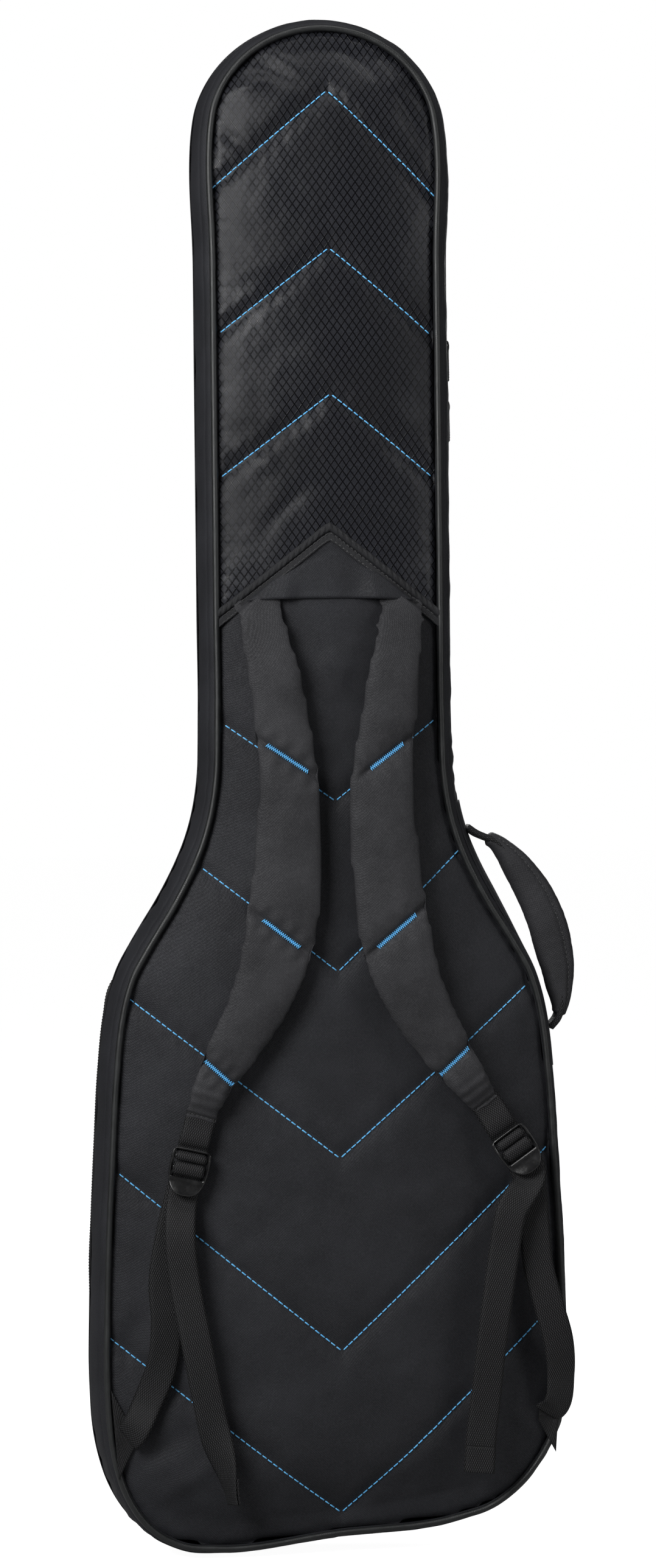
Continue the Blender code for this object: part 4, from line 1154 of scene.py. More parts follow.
def pocket_zip():
    low = pocket_outline.right(POCKET_ZIP_END_Z)
    start, end = low, pocket_outline.length - low
    marks = np.linspace(start, end, 300)
    for half, sign, body in (("back", -1, "lid"), ("front", 1, "pocket_front")):
        outer, inner = [], []
        for t in np.linspace(0, 1, 7):
            y = POCKET_SPLIT_Y + sign * mix(0.0006, 0.0095, t)
            edge = 0.0010 * (0.35 + 0.65 * math.sqrt(max(0.0, 1 - abs(2 * t - 1) ** 6)))
            outer.append(pocket_point(marks, y, TAPE_LIFT + edge))
            inner.append(pocket_point(marks, y, TAPE_LIFT))
        tape = shell(f"pocket_zip_{half}_tape", np.stack(outer, axis=1), np.stack(inner, axis=1))
        finish_piece(tape, "zip_tape", body, [f"pocket_zip_tape_{half}"])
        coil(f"pocket_zip_{half}_coil", (start, end),
             lambda m, s=sign: pocket_point(m, POCKET_SPLIT_Y + s * 0.0018, TAPE_LIFT + 0.0012),
             "zip_coil", body, radius=0.0012)


def domed_sheet(name, ring, inset, face_y, thickness, crown, columns=44, rows=52):
    """A soft flat front within a ring: face_y is its rim's outer depth."""
    edge = ring.inset(inset)[: ring.count // 2 + 1]
    heights = np.linspace(edge[0, 1] + 0.0002, edge[-1, 1] - 0.0002, rows)
    outer, inner = [], []
    for z in heights:
        width = float(np.interp(z, np.maximum.accumulate(edge[:, 1]), edge[:, 0]))
        x = width * np.sin(np.linspace(-math.pi / 2, math.pi / 2, columns + 1))
        up = (1 - (2 * (z - heights[0]) / (heights[-1] - heights[0]) - 1) ** 4)
        rise = crown * up * (1 - np.abs(x / width) ** 4)
        level = np.full_like(x, z)
        outer.append(np.stack([x, face_y + rise, level], axis=1))
        inner.append(np.stack([x, face_y + rise * 0.8 - thickness, level], axis=1))
    return shell(name, np.array(outer), np.array(inner))


def pocket():
    pocket_wall("pocket_inner_wall", POCKET_INNER_Y, POCKET_SPLIT_Y - 0.0004, ["pocket_wall_back"],
                "lid", 21.0)
    front = POCKET_OUTER_Y - 0.0048
    pocket_wall("pocket_outer_wall", POCKET_SPLIT_Y + 0.0004, front, ["pocket_wall_front"],
                "pocket_front", 23.0)
    pocket_zip()
    piping("pocket_piping_cord", POCKET_OUTER_Y - 0.0028, "pocket_piping", "pocket_front",
           ring=pocket_outline, radius=0.0026, sag=keep, seed=27.0)
    face = domed_sheet("pocket_front_panel", pocket_outline, 0.0046, POCKET_OUTER_Y - 0.0020, 0.0050,
                       0.0024)
    face = voxel_remesh(face, 0.005)
    points = coordinates(face)
    depth, mark = pocket_outline.nearest(points[:, [0, 2]])
    held = np.maximum((normals(face)[:, 1] < 0.2) * 1.0, bell(np.maximum(depth - 0.0046, 0), 0.006))
    stuff(face, held, 0.0022, pressure=1.5)
    subdivide(face)
    points = coordinates(face)
    depth, mark = pocket_outline.nearest(points[:, [0, 2]])
    depth = depth - 0.0046
    facing = ease(normals(face)[:, 1], 0.1, 0.6)
    gather = np.sin(mark * 2 * math.pi / 0.014 + 2.5 * lumps(points * (1, 0, 1), 0.02, 31.0))
    sunk = 0.0009 * bell(depth, 0.004) + 0.0005 * gather * bell(depth, 0.010)
    sunk += lumps(points * (1, 0, 1), 0.070, 33.0) * 0.0010 * (1 - bell(depth, 0.02))
    points[:, 1] -= sunk * facing
    move_to(face, points)
    finish_piece(face, "panel_cloth", "pocket_front", ["pocket_face"])
    surface = Surface(face, side=1)
    inner = pocket_outline.inset(0.0105)
    seam("pocket_topstitching", [[tuple(p) for p in np.vstack([inner, inner[:1]])[::6]]], surface,
         "black_thread", "pocket_front", radius=0.0004, length=0.0032, gap=0.0012)


def front_panel():
    base = panel_base("front_panel_padding", BASE_Z + PANEL_INSET, TOP[1] - PANEL_INSET, FRONT_CROWN, 1,
                      0.002)
    panel = quilted_panel(base, 1, [], 0.007, 0.006, 0.0, 0.0005)
    finish_piece(panel, "panel_cloth", "lid", ["front_panel"])
    surface = Surface(panel, side=1)
    edge = outline.inset(PANEL_INSET + 0.0075)
    keep_from = int(outline.count * 0.13)
    path = edge[keep_from : outline.count - keep_from : 8]
    seam("front_topstitching", [[tuple(p) for p in path]], surface, "black_thread", "lid",
         radius=0.0004, length=0.0032, gap=0.0012)


# ------------------------------------------------------------------ lining and guards
def lining(name, crown, side, node, body):
    low, high = BASE_Z + PANEL_INSET, TOP[1] - PANEL_INSET
    rows, outer, inner = np.linspace(low + 0.002, high - 0.002, 130), [], []
    for z in rows:
        width = max(float(outline.half_width(z, PANEL_INSET + 0.002)), 0.004)
        x = width * np.sin(np.linspace(-math.pi / 2, math.pi / 2, 25))
        level = np.full_like(x, z)
        spots = np.stack([x, level, np.full_like(x, side)], axis=1)
        face = lining_face(x, level, crown) + lumps(spots, 0.06, 40.0) * 0.0005
        outer.append(np.stack([x, side * face, level], axis=1))
        inner.append(np.stack([x, side * (face - 0.0012), level], axis=1))
    obj = shell(name, settle(np.array(outer)), settle(np.array(inner)))
    finish_piece(obj, "lining", body, [node])


def linings():
    lining("back_plush_lining", BACK_CROWN, -1, "back_lining", "back_shell")
    lining("front_plush_lining", FRONT_CROWN, 1, "front_lining", "lid")
    for node in ("headstock_guard", "bridge_guard", "bottom_guard"):
        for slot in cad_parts[node].material_slots:
            slot.material = looks["guard"]


# ------------------------------------------------------------------ trim on the back panel
def ribbon_rings(centre, across, out, widths, thickness, columns=10):
    """Rings for a flat strap: centre points, unit vectors across it and out of its face,
    half-widths and a thickness. Its edges are rounded."""
    rings = []
    share = np.linspace(-1, 1, columns)
    edge = np.sqrt(np.clip(1 - np.abs(share) ** 8, 0, 1)) * 0.5
    profile = [*zip(share, edge), *zip(share[::-1][1:-1], -edge[1:-1])]
    for point, side, face, half in zip(centre, across, out, widths):
        rings.append([point + side * half * s + face * thickness * e for s, e in profile])
    return rings


def seam_tape(surface):
    """The trim over the inverted-V seam: a gathered roll of cloth above a flat tape."""
    reach = float(outline.half_width(SEAM_END_Z, 2 * PIPING_RADIUS)) + 0.0012
    x = np.linspace(-reach, reach, 190)
    centre_z = np.array([seam_z(v) for v in x]) - 0.0008 * bell(x, 0.004)
    nearest = []
    for a, z in zip(x, centre_z):
        heights = z + TRIM_HALF * np.array([-1.0, -0.5, 0.0, 0.5, 1.0])
        nearest.append(min(surface.y(a, height, -HALF_DEPTH) for height in heights))
    padded = np.pad(nearest, 6, mode="edge")
    face_y = np.convolve(padded, np.ones(13) / 13, mode="valid")
    rows = np.concatenate([np.linspace(-1, -0.04, 13), np.linspace(0.02, 1, 15)])
    flat_part = np.clip(1 - np.abs((rows + 0.52) / 0.48) ** 6, 0, 1) ** 0.5 * (rows < 0)
    roll = np.clip(1 - np.abs((rows - 0.51) / 0.49) ** 2, 0, 1) ** 0.5 * (rows > 0)
    wander = lumps(np.stack([x, np.zeros_like(x), centre_z], axis=1), 0.012, 81.0)
    outer, inner = [], []
    for number, (a, z) in enumerate(zip(x, centre_z)):
        ring_out, ring_in = [], []
        for r, low, high in zip(rows, flat_part, roll):
            height = z + TRIM_HALF * r + 0.0004 * wander[number]
            gather = math.sin(abs(a) * 2 * math.pi / 0.0050 + 2.6 * r + 1.5 * wander[number])
            rise = 0.0012 * low + (0.0017 + 0.00045 * gather) * high
            rise += 0.0007 * float(bell(r + 0.93, 0.07)) - 0.0006 * float(bell(r, 0.08))
            ring_out.append((a, face_y[number] - 0.0003 - rise, height))
            ring_in.append((a, face_y[number] + 0.0030, height))
        outer.append(ring_out)
        inner.append(ring_in)
    tape = shell("seam_binding_tape", np.array(outer), np.array(inner))
    finish_piece(tape, "binding", "back_shell", ["seam_binding"])
    over = Surface(tape)
    for name, row in (("upper", -0.14), ("lower", -0.80)):
        paths = [[(a, z + TRIM_HALF * row) for a, z in zip(x[part], centre_z[part])]
                 for part in (slice(4, 95, 6), slice(95, 186, 6))]
        seam(f"seam_binding_{name}_stitches", paths, over, "black_thread", "back_shell",
             radius=0.0004, length=0.0030, gap=0.0011)


def yoke_flap(surface):
    """The triangle of cloth over the straps' roots, hemmed along its lower edge."""
    apex = SEAM_APEX_Z - 0.0040
    slope = (SEAM_APEX_Z - SEAM_END_Z) / NECK_HALF_WIDTH
    rows, columns = 26, 61
    outer, inner = [], []
    for share in np.linspace(0, 1, rows):
        line_out, line_in = [], []
        for t in np.linspace(-1, 1, columns):
            lower = YOKE_EDGE_Z - 0.0022 * abs(t) ** 2
            z = mix(lower, apex, share)
            x = t * max((apex - z) / slope, 0.0004)
            base = surface.y(x, z, -HALF_DEPTH)
            roots = bell(max(abs(abs(x) - 0.058) - 0.020, 0.0), 0.010)
            cover = 0.0066 * math.exp(-(((z - lower) / 0.019) ** 2)) * roots
            crease = 0.0005 * math.sin(x * 130 + 60 * z) * (1 - share)
            hem = 0.0008 * bell(z - lower - 0.0022, 0.0018)
            line_out.append((x, base - 0.0016 - cover - hem - crease, z))
            line_in.append((x, base - 0.0005 - cover - crease, z))
        outer.append(line_out)
        inner.append(line_in)
    flap = shell("strap_yoke_flap", np.array(outer), np.array(inner))
    finish_piece(flap, "panel_cloth", "back_shell", ["strap_yoke"])


SIDE_TABS = {
    "left": [(-0.184, 0.140), (-0.163, 0.1000), (-0.1785, 0.068)],
    "right": [(0.184, 0.150), (0.163, 0.1100), (0.179, 0.080)],
}


def side_tab(side, surface):
    """A triangle of webbing folded over and sewn into the edge seam."""
    upper, tip, lower = (np.array(corner) for corner in SIDE_TABS[side])
    outer, inner = [], []
    for r in np.linspace(0, 1, 19):
        root = mix(upper, lower, r)
        nose = mix(tip, root, 0.10)
        line_out, line_in = [], []
        for t in np.linspace(0, 1, 13):
            x, z = mix(root, nose, t)
            base = surface.y(x, z, -HALF_DEPTH - 0.001)
            pleat = 0.0008 * bell(r - 0.5, 0.07)
            line_out.append((x, min(base, -HALF_DEPTH) - 0.0030 - pleat, z))
            line_in.append((x, min(base, -HALF_DEPTH) - 0.0006, z))
        outer.append(line_out)
        inner.append(line_in)
    tab = shell(f"{side}_tab_cloth", np.array(outer), np.array(inner))
    return finish_piece(tab, "webbing", "back_shell", [f"{side}_side_tab"])


# ------------------------------------------------------------------ shoulder straps
# middle line of each pad as (x, z, half-width), from the yoke down to its end
PADS = {
    "left": [
        (-0.0618, 0.7865, 0.0215), (-0.0600, 0.7765, 0.0225), (-0.0550, 0.7500, 0.0240),
        (-0.0485, 0.7200, 0.0245),
        (-0.0430, 0.6850, 0.0255), (-0.0385, 0.6450, 0.0275), (-0.0370, 0.6100, 0.0295),
        (-0.0385, 0.5700, 0.0318), (-0.0420, 0.5350, 0.0328), (-0.0480, 0.4980, 0.0322),
        (-0.0600, 0.4620, 0.0290), (-0.0740, 0.4340, 0.0258), (-0.0900, 0.4080, 0.0225),
        (-0.1020, 0.3860, 0.0185), (-0.1120, 0.3560, 0.0165),
    ],
    "right": [
        (0.0606, 0.7865, 0.0215), (0.0590, 0.7765, 0.0225), (0.0550, 0.7500, 0.0240),
        (0.0500, 0.7200, 0.0245),
        (0.0450, 0.6850, 0.0258), (0.0400, 0.6500, 0.0275), (0.0380, 0.6130, 0.0300),
        (0.0400, 0.5700, 0.0318), (0.0430, 0.5350, 0.0328), (0.0490, 0.4980, 0.0325),
        (0.0600, 0.4620, 0.0300), (0.0740, 0.4350, 0.0270), (0.0900, 0.4100, 0.0235),
        (0.1060, 0.3880, 0.0190), (0.1240, 0.3640, 0.0165),
    ],
}
# the bar-tacks across each pad, outer end then inner end
TACKS = {
    "left": [((-0.0545, 0.660), (-0.0217, 0.638)), ((-0.0595, 0.5195), (-0.0305, 0.497)),
             ((-0.1070, 0.407), (-0.0850, 0.387))],
    "right": [((0.0560, 0.660), (0.0295, 0.640)), ((0.0640, 0.522), (0.0330, 0.496)),
              ((0.1060, 0.4135), (0.0830, 0.392))],
}
# the webbing from behind each buckle down to the side tab, and the free tail
LOOPS = {
    "left": {
        "buckle": (-0.1215, 0.3180), "turn": 13.0,
        "web": [(-0.1278, 0.2980), (-0.1360, 0.2650), (-0.1415, 0.2300), (-0.1400, 0.1950),
                (-0.1430, 0.1640), (-0.1550, 0.1320), (-0.1670, 0.1080)],
        "tail": [(-0.1290, 0.2700), (-0.1255, 0.2290), (-0.1170, 0.1830), (-0.1100, 0.1450),
                 (-0.1030, 0.1100), (-0.0945, 0.0780), (-0.0890, 0.0510)],
        "web_twist": 24.0, "tail_twist": 70.0,
    },
    "right": {
        "buckle": (0.1470, 0.3290), "turn": -35.0,
        "web": [(0.1562, 0.3050), (0.1600, 0.2700), (0.1630, 0.2350), (0.1720, 0.2000),
                (0.1800, 0.1700), (0.1820, 0.1450), (0.1780, 0.1190)],
        "tail": [(0.1390, 0.2800), (0.1330, 0.2480), (0.1270, 0.2100), (0.1215, 0.1700),
                 (0.1170, 0.1300), (0.1130, 0.1000), (0.1105, 0.0710)],
        "web_twist": -20.0, "tail_twist": 0.0,
    },
}
PAD_NEAREST, PAD_LIFT = 0.056, (0.0010, 0.0085)
PAD_DEEP, PAD_FLAT, PAD_SHRINK, ROOT_SUNK = 0.0150, 0.0050, 0.0022, 0.0110
WEB_HALF, WEB_THICK = 0.0125, 0.0018
WEB_Y, WEB_DROP, TAIL_Y = -0.0615, 0.0105, -0.0745
BUCKLE_Y, BUCKLE_THICK = -0.0680, 0.0044


def pad_rest_y(x, z):
    """The face of a pad nearest the bag."""
    lift = mix(PAD_LIFT[1], PAD_LIFT[0], ease(z, 0.72, 0.776)) - 0.0010
    panel = -HALF_DEPTH - dome(x, z, BACK_CROWN)
    run = np.minimum(panel, -PAD_NEAREST) - lift
    return mix(run, panel - 0.0006, ease(z, 0.752, 0.777))


def pad_line(side, count=110):
    """Points, directions along and across, and half-widths down the middle of a pad."""
    rows = spline(PADS[side], count)
    along = headings(rows[:, :2])
    across = np.stack([along[:, 1], -along[:, 0]], axis=1)
    return rows[:, :2], along, across, rows[:, 2]


def pad_thickness(z, to_end):
    thick = mix(PAD_DEEP, PAD_FLAT, ease(z, 0.716, 0.774))
    return mix(PAD_FLAT, thick, ease(to_end, 0.007, 0.024))


def pad_base(side):
    middle_line, _, across, half = pad_line(side)
    steps = np.linalg.norm(np.diff(middle_line, axis=0), axis=1)
    to_end = np.concatenate([np.cumsum(steps[::-1])[::-1], [0.0]])
    share = np.linspace(-1, 1, 19)
    fullness = np.clip(1 - np.abs(share) ** 5, 0, 1) ** 0.5
    outer, inner = [], []
    for point, side_ways, wide, left in zip(middle_line, across, half, to_end):
        rest = float(pad_rest_y(*point))
        full = float(pad_thickness(point[1], left))
        thick = full - 2 * PAD_SHRINK * ease(left, 0.006, 0.03) * ease(full, 0.0055, 0.0120)
        centre = rest - float(pad_thickness(point[1], left)) / 2
        xz = point + np.outer(share * (wide - 0.0008), side_ways)
        swing = thick / 2 * np.maximum(fullness, 0.12)
        outer.append(np.stack([xz[:, 0], centre - swing, xz[:, 1]], axis=1))
        inner.append(np.stack([xz[:, 0], centre + swing, xz[:, 1]], axis=1))
    return shell(f"{side}_shoulder_pad", np.array(outer), np.array(inner))


def tack_distance(flat, tack):
    """How far points are from a bar-tack's line, and where along it they lie."""
    start, end = np.array(tack[0]), np.array(tack[1])
    run = end - start
    length = np.linalg.norm(run)
    off = (flat - start) @ np.array([-run[1], run[0]]) / length
    return np.abs(off), (flat - start) @ run / length**2


def shoulder_pad(side):
    pad = voxel_remesh(pad_base(side), 0.0045)
    pad = soften(pad, 6)
    middle_line, along, across, half = pad_line(side)
    flat = coordinates(pad)[:, [0, 2]]
    to_end = (middle_line[-1] - flat) @ along[-1]
    held = (normals(pad)[:, 1] > 0.35) * 1.0
    held = np.maximum(held, ease(flat[:, 1], 0.755, 0.768))
    held = np.maximum(held, (to_end < 0.010) * (flat[:, 1] < 0.40) * 1.0)
    for tack in TACKS[side]:
        away, share = tack_distance(flat, tack)
        held = np.maximum(held, bell(away, 0.0035) * (share > -0.5) * (share < 1.5))
    stuff(pad, held, 0.0030, pressure=4.0)
    pad = soften(pad, 8)
    subdivide(pad, 2)

    points = coordinates(pad)
    facing = ease(-normals(pad)[:, 1], 0.05, 0.6)
    flat = points[:, [0, 2]]
    gap = np.linalg.norm(flat[:, None] - middle_line[None], axis=2)
    row = gap.argmin(axis=1)
    sideways = ((flat - middle_line[row]) * across[row]).sum(axis=1)
    edge = half[row] - np.abs(sideways)
    to_end = (middle_line[-1] - flat) @ along[-1]
    near_end = (flat[:, 1] < 0.42) * 1.0
    fine = lumps(points, 0.012, 51.0) * 0.00030 + lumps(points, 0.035, 52.0) * 0.0008
    sunk = fine * ease(edge, 0.000, 0.010)
    sunk += 0.0019 * bell(to_end - 0.0066, 0.0013) * near_end
    sunk += 0.0005 * np.sin(to_end * 2 * math.pi / 0.009) * bell(to_end - 0.020, 0.012) * near_end
    pinch = np.zeros(len(points))
    for number, tack in enumerate(TACKS[side]):
        away, share = tack_distance(flat, tack)
        reach = ease(share, -0.55, -0.10) * (1 - ease(share, 1.10, 1.55))
        sunk += reach * (0.0030 * bell(away, 0.0030) + 0.0026 * bell(away, 0.0095))
        crease = np.sin(share * 17 + number) * bell(away - 0.007, 0.006) * 0.0006
        sunk += crease * reach
        pinch += bell(away, 0.005) * reach
    points[:, 1] += sunk * facing
    notch = 0.0016 * np.clip(pinch, 0, 1) * bell(edge, 0.006)
    wave = lumps(points * (1, 0, 1), 0.028, 55.0) * 0.0003 * bell(edge, 0.008)
    pull = -np.sign(sideways) * (notch + wave)
    points[:, 0] += across[row][:, 0] * pull
    points[:, 2] += across[row][:, 1] * pull
    under_yoke = ease(flat[:, 1] - YOKE_EDGE_Z, 0.0010, 0.0050)
    under_trim = ease(flat[:, 1] - seam_z(flat[:, 0]) + TRIM_HALF, -0.0005, 0.0030)
    points[:, 1] += ROOT_SUNK * np.maximum(under_yoke, under_trim)
    move_to(pad, points)
    finish_piece(pad, "pad_cloth", f"{side}_strap", [f"{side}_strap_pad"])
    over = Surface(pad)
    for number, tack in enumerate(TACKS[side], 1):
        zigzag(f"{side}_bar_tack_{number}", *tack, over, "blue_thread", None, f"{side}_strap")
    end = middle_line[-1] - along[-1] * 0.0062
    reach = (half[-1] - 0.0028) * across[-1]
    seam(f"{side}_pad_end_stitches", [[tuple(end - reach), tuple(end), tuple(end + reach)]], over,
         "black_thread", f"{side}_strap", radius=0.0004, length=0.0030, gap=0.0010)


def ribbon(name, path, across, half, body, replaced, look="webbing",
           thickness=WEB_THICK, twist=None, seed=1.0):
    """Flat webbing along a path, as wide each way along across as half says. twist turns
    it about its run, in degrees at each point."""
    path = np.asarray(path, float)
    along = headings(path)
    across = np.broadcast_to(np.asarray(across, float), path.shape).copy()
    across -= along * (across * along).sum(axis=1)[:, None]
    across /= np.linalg.norm(across, axis=1)[:, None]
    face = np.cross(along, across)
    if twist is not None:
        turn = np.radians(twist)[:, None]
        across, face = (across * np.cos(turn) + face * np.sin(turn),
                        face * np.cos(turn) - across * np.sin(turn))
    width = np.broadcast_to(half, len(path)) * (1 + 0.008 * lumps(path, 0.02, seed))
    rings = ribbon_rings(path, across, face, width, thickness, columns=12)
    return finish_piece(loft(name, rings), look, body, replaced)


def buckle_place(side):
    """A function from a buckle's own across, up and outward distances to the bag."""
    x, z = LOOPS[side]["buckle"]
    turn = math.radians(LOOPS[side]["turn"])
    right = np.array([math.cos(turn), 0, -math.sin(turn)])
    up = np.array([math.sin(turn), 0, math.cos(turn)])
    centre = np.array([x, BUCKLE_Y, z])

    def place(u, v, w):
        away = np.multiply.outer(v, up) + np.multiply.outer(w, OUTWARD)
        return centre + np.multiply.outer(u, right) + away

    return place, right, up


def plate(name, outline_points, holes, thickness, bevel, place, shape=None):
    """A flat moulded plate with holes and rounded edges, bent by shape(u, v, w)."""
    curve = bpy.data.curves.new(name, "CURVE")
    curve.dimensions = "2D"
    curve.fill_mode = "BOTH"
    curve.extrude = thickness / 2 - bevel
    curve.bevel_depth = bevel
    curve.bevel_resolution = 3
    curve.offset = -bevel
    for ring in [outline_points, *holes]:
        line = curve.splines.new("POLY")
        line.points.add(len(ring) - 1)
        for point, (u, v) in zip(line.points, ring):
            point.co = (u, v, 0, 1)
        line.use_cyclic_u = True
    flat = add_object(name, curve)
    graph = bpy.context.evaluated_depsgraph_get()
    graph.update()
    mesh = bpy.data.meshes.new_from_object(flat.evaluated_get(graph))
    bpy.data.objects.remove(flat)
    bpy.data.curves.remove(curve)
    tidy = bmesh.new()
    tidy.from_mesh(mesh)
    bmesh.ops.remove_doubles(tidy, verts=tidy.verts, dist=0.00002)
    bmesh.ops.triangulate(tidy, faces=[f for f in tidy.faces if len(f.verts) > 4])
    bmesh.ops.recalc_face_normals(tidy, faces=tidy.faces)
    tidy.to_mesh(mesh)
    tidy.free()
    u, v, w = np.array([tuple(vertex.co) for vertex in mesh.vertices]).T
    if shape:
        w = w + shape(u, v)
    for vertex, point in zip(mesh.vertices, place(u, v, w) + OFFSET):
        vertex.co = point
    mesh.name = name
    mesh.update()
    mesh.shade_smooth()
    obj = add_object(name, mesh)
    facing = bmesh.new()
    facing.from_mesh(mesh)
    bmesh.ops.recalc_face_normals(facing, faces=facing.faces)
    facing.to_mesh(mesh)
    facing.free()
    return obj


def rounded_box(u0, v0, u1, v1, radius):
    corners = [(u1 - radius, v1 - radius, 0), (u0 + radius, v1 - radius, 90),
               (u0 + radius, v0 + radius, 180), (u1 - radius, v0 + radius, 270)]
    made = []
    for u, v, start in corners:
        for step in range(6):
            turn = math.radians(start + 18 * step)
            made.append((u + radius * math.cos(turn), v + radius * math.sin(turn)))
    return made


def mirrored(half, count):
    """A smooth closed ring from the points of its right half."""
    ring = half + [(-u, v) for u, v in reversed(half[1:-1])]
    return [tuple(p) for p in spline(ring, count, closed=True)]


BUCKLE_HALF = [
    (0.0, 0.0186), (0.0080, 0.0186), (0.0125, 0.0182), (0.0150, 0.0166), (0.0158, 0.0140),
    (0.0160, 0.0060), (0.0156, -0.0020), (0.0146, -0.0080), (0.0126, -0.0130), (0.0092, -0.0168),
    (0.0048, -0.0188), (0.0, -0.0193),
]
WINDOW = (-0.0132, -0.0052, 0.0132, 0.0166)
BARS = (0.0018, 0.0112)
OUTWARD = np.array([0.0, -1.0, 0.0])


def ladder_lock(side):
    place, right, up = buckle_place(side)
    body = f"{side}_buckle"
    ring = mirrored(BUCKLE_HALF, 96)

    def cup(u, v):
        tongue = ease(-v, 0.004, 0.012)
        crown = 0.0016 * (1 - (u / 0.016) ** 2) * tongue
        lip = 0.0030 * ease(-v, 0.008, 0.020)
        rails = 0.0010 * ease(np.abs(u), 0.0125, 0.0160) * (1 - tongue)
        return crown + lip + rails - 0.0006

    lock = plate(f"{side}_ladder_lock_body", ring, [rounded_box(*WINDOW, 0.0012)], BUCKLE_THICK, 0.0011,
                 place, cup)
    finish_piece(lock, "buckle", body, [f"{side}_ladder_lock"])
    for number, v in enumerate(BARS, 1):
        u = np.linspace(-0.0140, 0.0140, 9)
        bar = ribbon_rings(place(u, np.full(9, v), np.zeros(9)), [up] * 9, [OUTWARD] * 9,
                           [0.0016] * 9, 0.0024, columns=8)
        finish_piece(loft(f"{side}_ladder_lock_bar_{number}", bar), "buckle", body)
    over_bar = [(-0.0020, -0.0050), (0.0030, -0.0042), (0.0060, -0.0022), (0.0063, 0.0008),
                (0.0042, 0.0028), (0.0014, 0.0031), (-0.0016, 0.0020), (-0.0034, -0.0006),
                (-0.0062, -0.0024), (-0.0120, -0.0030)]
    run = spline(over_bar, 70)
    ribbon(f"{side}_webbing_over_bar", place(np.zeros(70), run[:, 0], run[:, 1]), right, WEB_HALF, body,
           [], seed=61.0)


def lying_flat(run, start, low, high):
    """Directions across webbing that leaves a buckle one way and then hangs flat."""
    down = headings(run[:, [0, 2]])
    flat = np.stack([-down[:, 1], np.zeros(len(run)), down[:, 0]], axis=1)
    return mix(start, flat, ease(np.linspace(0, 1, len(run)), low, high)[:, None])


def strap_webbing(side):
    place, right, _ = buckle_place(side)
    middle_line, along, across, _ = pad_line(side)
    end = middle_line[-1]
    pad_y = float(pad_rest_y(*end)) - PAD_FLAT / 2

    def inside_pad(back, sunk):
        x, z = end - along[-1] * back
        return (x, pad_y + sunk, z)

    def local(v, w):
        return tuple(place(0.0, v, w))

    loop = [inside_pad(0.012, 0.0), inside_pad(0.002, 0.0), local(0.0230, -0.0012),
            local(0.0190, -0.0034), local(0.0158, -0.0026), local(0.0146, 0.0004),
            local(0.0128, 0.0027), local(0.0100, 0.0026), local(0.0084, 0.0002),
            local(0.0092, -0.0030), local(0.0140, -0.0052), local(0.0210, -0.0052),
            inside_pad(0.004, 0.0022), inside_pad(0.012, 0.0012)]
    run = spline(loop, 110)
    start_across = np.array([across[-1][0], 0, across[-1][1]])
    if np.dot(start_across, right) < 0:
        start_across = -start_across
    share = np.concatenate([ease(np.linspace(0, 1, 55), 0.0, 0.5), ease(np.linspace(1, 0, 55), 0.0, 0.5)])
    ways = mix(start_across, right, share[:, None])
    ribbon(f"{side}_strap_end_webbing", run, ways, WEB_HALF, f"{side}_strap", [f"{side}_strap_end"],
           seed=63.0)

    tail_y = TAIL_Y - WEB_THICK / 2
    tail = [local(-0.0085, -0.0026), local(-0.0165, -0.0030)]
    tail += [(x, tail_y, z) for x, z in LOOPS[side]["tail"]]
    run = spline(tail, 190)
    ways = lying_flat(run, right, 0.02, 0.22)
    share = np.linspace(0, 1, len(run))
    run[:, 1] += 0.0016 * np.sin(share * 9.5) * ease(share, 0.2, 0.5)
    twist = LOOPS[side]["tail_twist"] * ease(share, 0.72, 0.99) + 4 * np.sin(share * 7)
    ribbon(f"{side}_tail_webbing", run, ways, WEB_HALF, f"{side}_tail", [f"{side}_strap_tail"],
           twist=twist, seed=65.0)
    hem = run[-16:] + ((0, -0.0019, 0) if side == "right" else (0.0019, 0, 0))
    ribbon(f"{side}_tail_hem", hem, ways[-16:], WEB_HALF, f"{side}_tail", [], twist=twist[-16:],
           seed=66.0)

    web = [tuple(place(0.0, 0.0005, -0.0056))]
    for x, z in LOOPS[side]["web"]:
        web.append((x, WEB_Y + WEB_DROP * float(1 - ease(z, 0.12, 0.20)) - WEB_THICK / 2, z))
    tab_root = np.mean([SIDE_TABS[side][0], SIDE_TABS[side][2]], axis=0)
    inner = mix(np.array(SIDE_TABS[side][1]), tab_root, 0.45)
    web.append((inner[0], -HALF_DEPTH - 0.0055, inner[1]))
    run = spline(web, 170)
    ways = lying_flat(run, right, 0.03, 0.25)
    twist = LOOPS[side]["web_twist"] * ease(np.linspace(0, 1, len(run)), 0.62, 0.90)
    ribbon(f"{side}_anchor_webbing", run, ways, WEB_HALF, f"{side}_webbing", [f"{side}_lower_webbing"],
           twist=twist, seed=67.0)


# ------------------------------------------------------------------ carry handle
# x, z and half-width down the middle of the carry handle
HANDLE_RUN = [
    (0.1135, 0.5900, 0.0045), (0.1260, 0.5845, 0.0052), (0.1380, 0.5790, 0.0066), (0.1475, 0.5700, 0.0092),
    (0.1550, 0.5605, 0.0118), (0.1640, 0.5470, 0.0138), (0.1720, 0.5330, 0.0150), (0.1790, 0.5170, 0.0156),
    (0.1825, 0.5060, 0.0158), (0.1860, 0.4910, 0.0154), (0.1895, 0.4740, 0.0136), (0.1905, 0.4600, 0.0110),
    (0.1912, 0.4480, 0.0080), (0.1905, 0.4400, 0.0058), (0.1870, 0.4310, 0.0050), (0.1825, 0.4230, 0.0045),
]
HANDLE_Y, GRIP_RADIUS = -0.016, 0.0135
GRIP_STRETCH, GRIP_SEAM = (22, 224), math.radians(302)
HANDLE_ANCHORS = (0.5885, 0.4250)
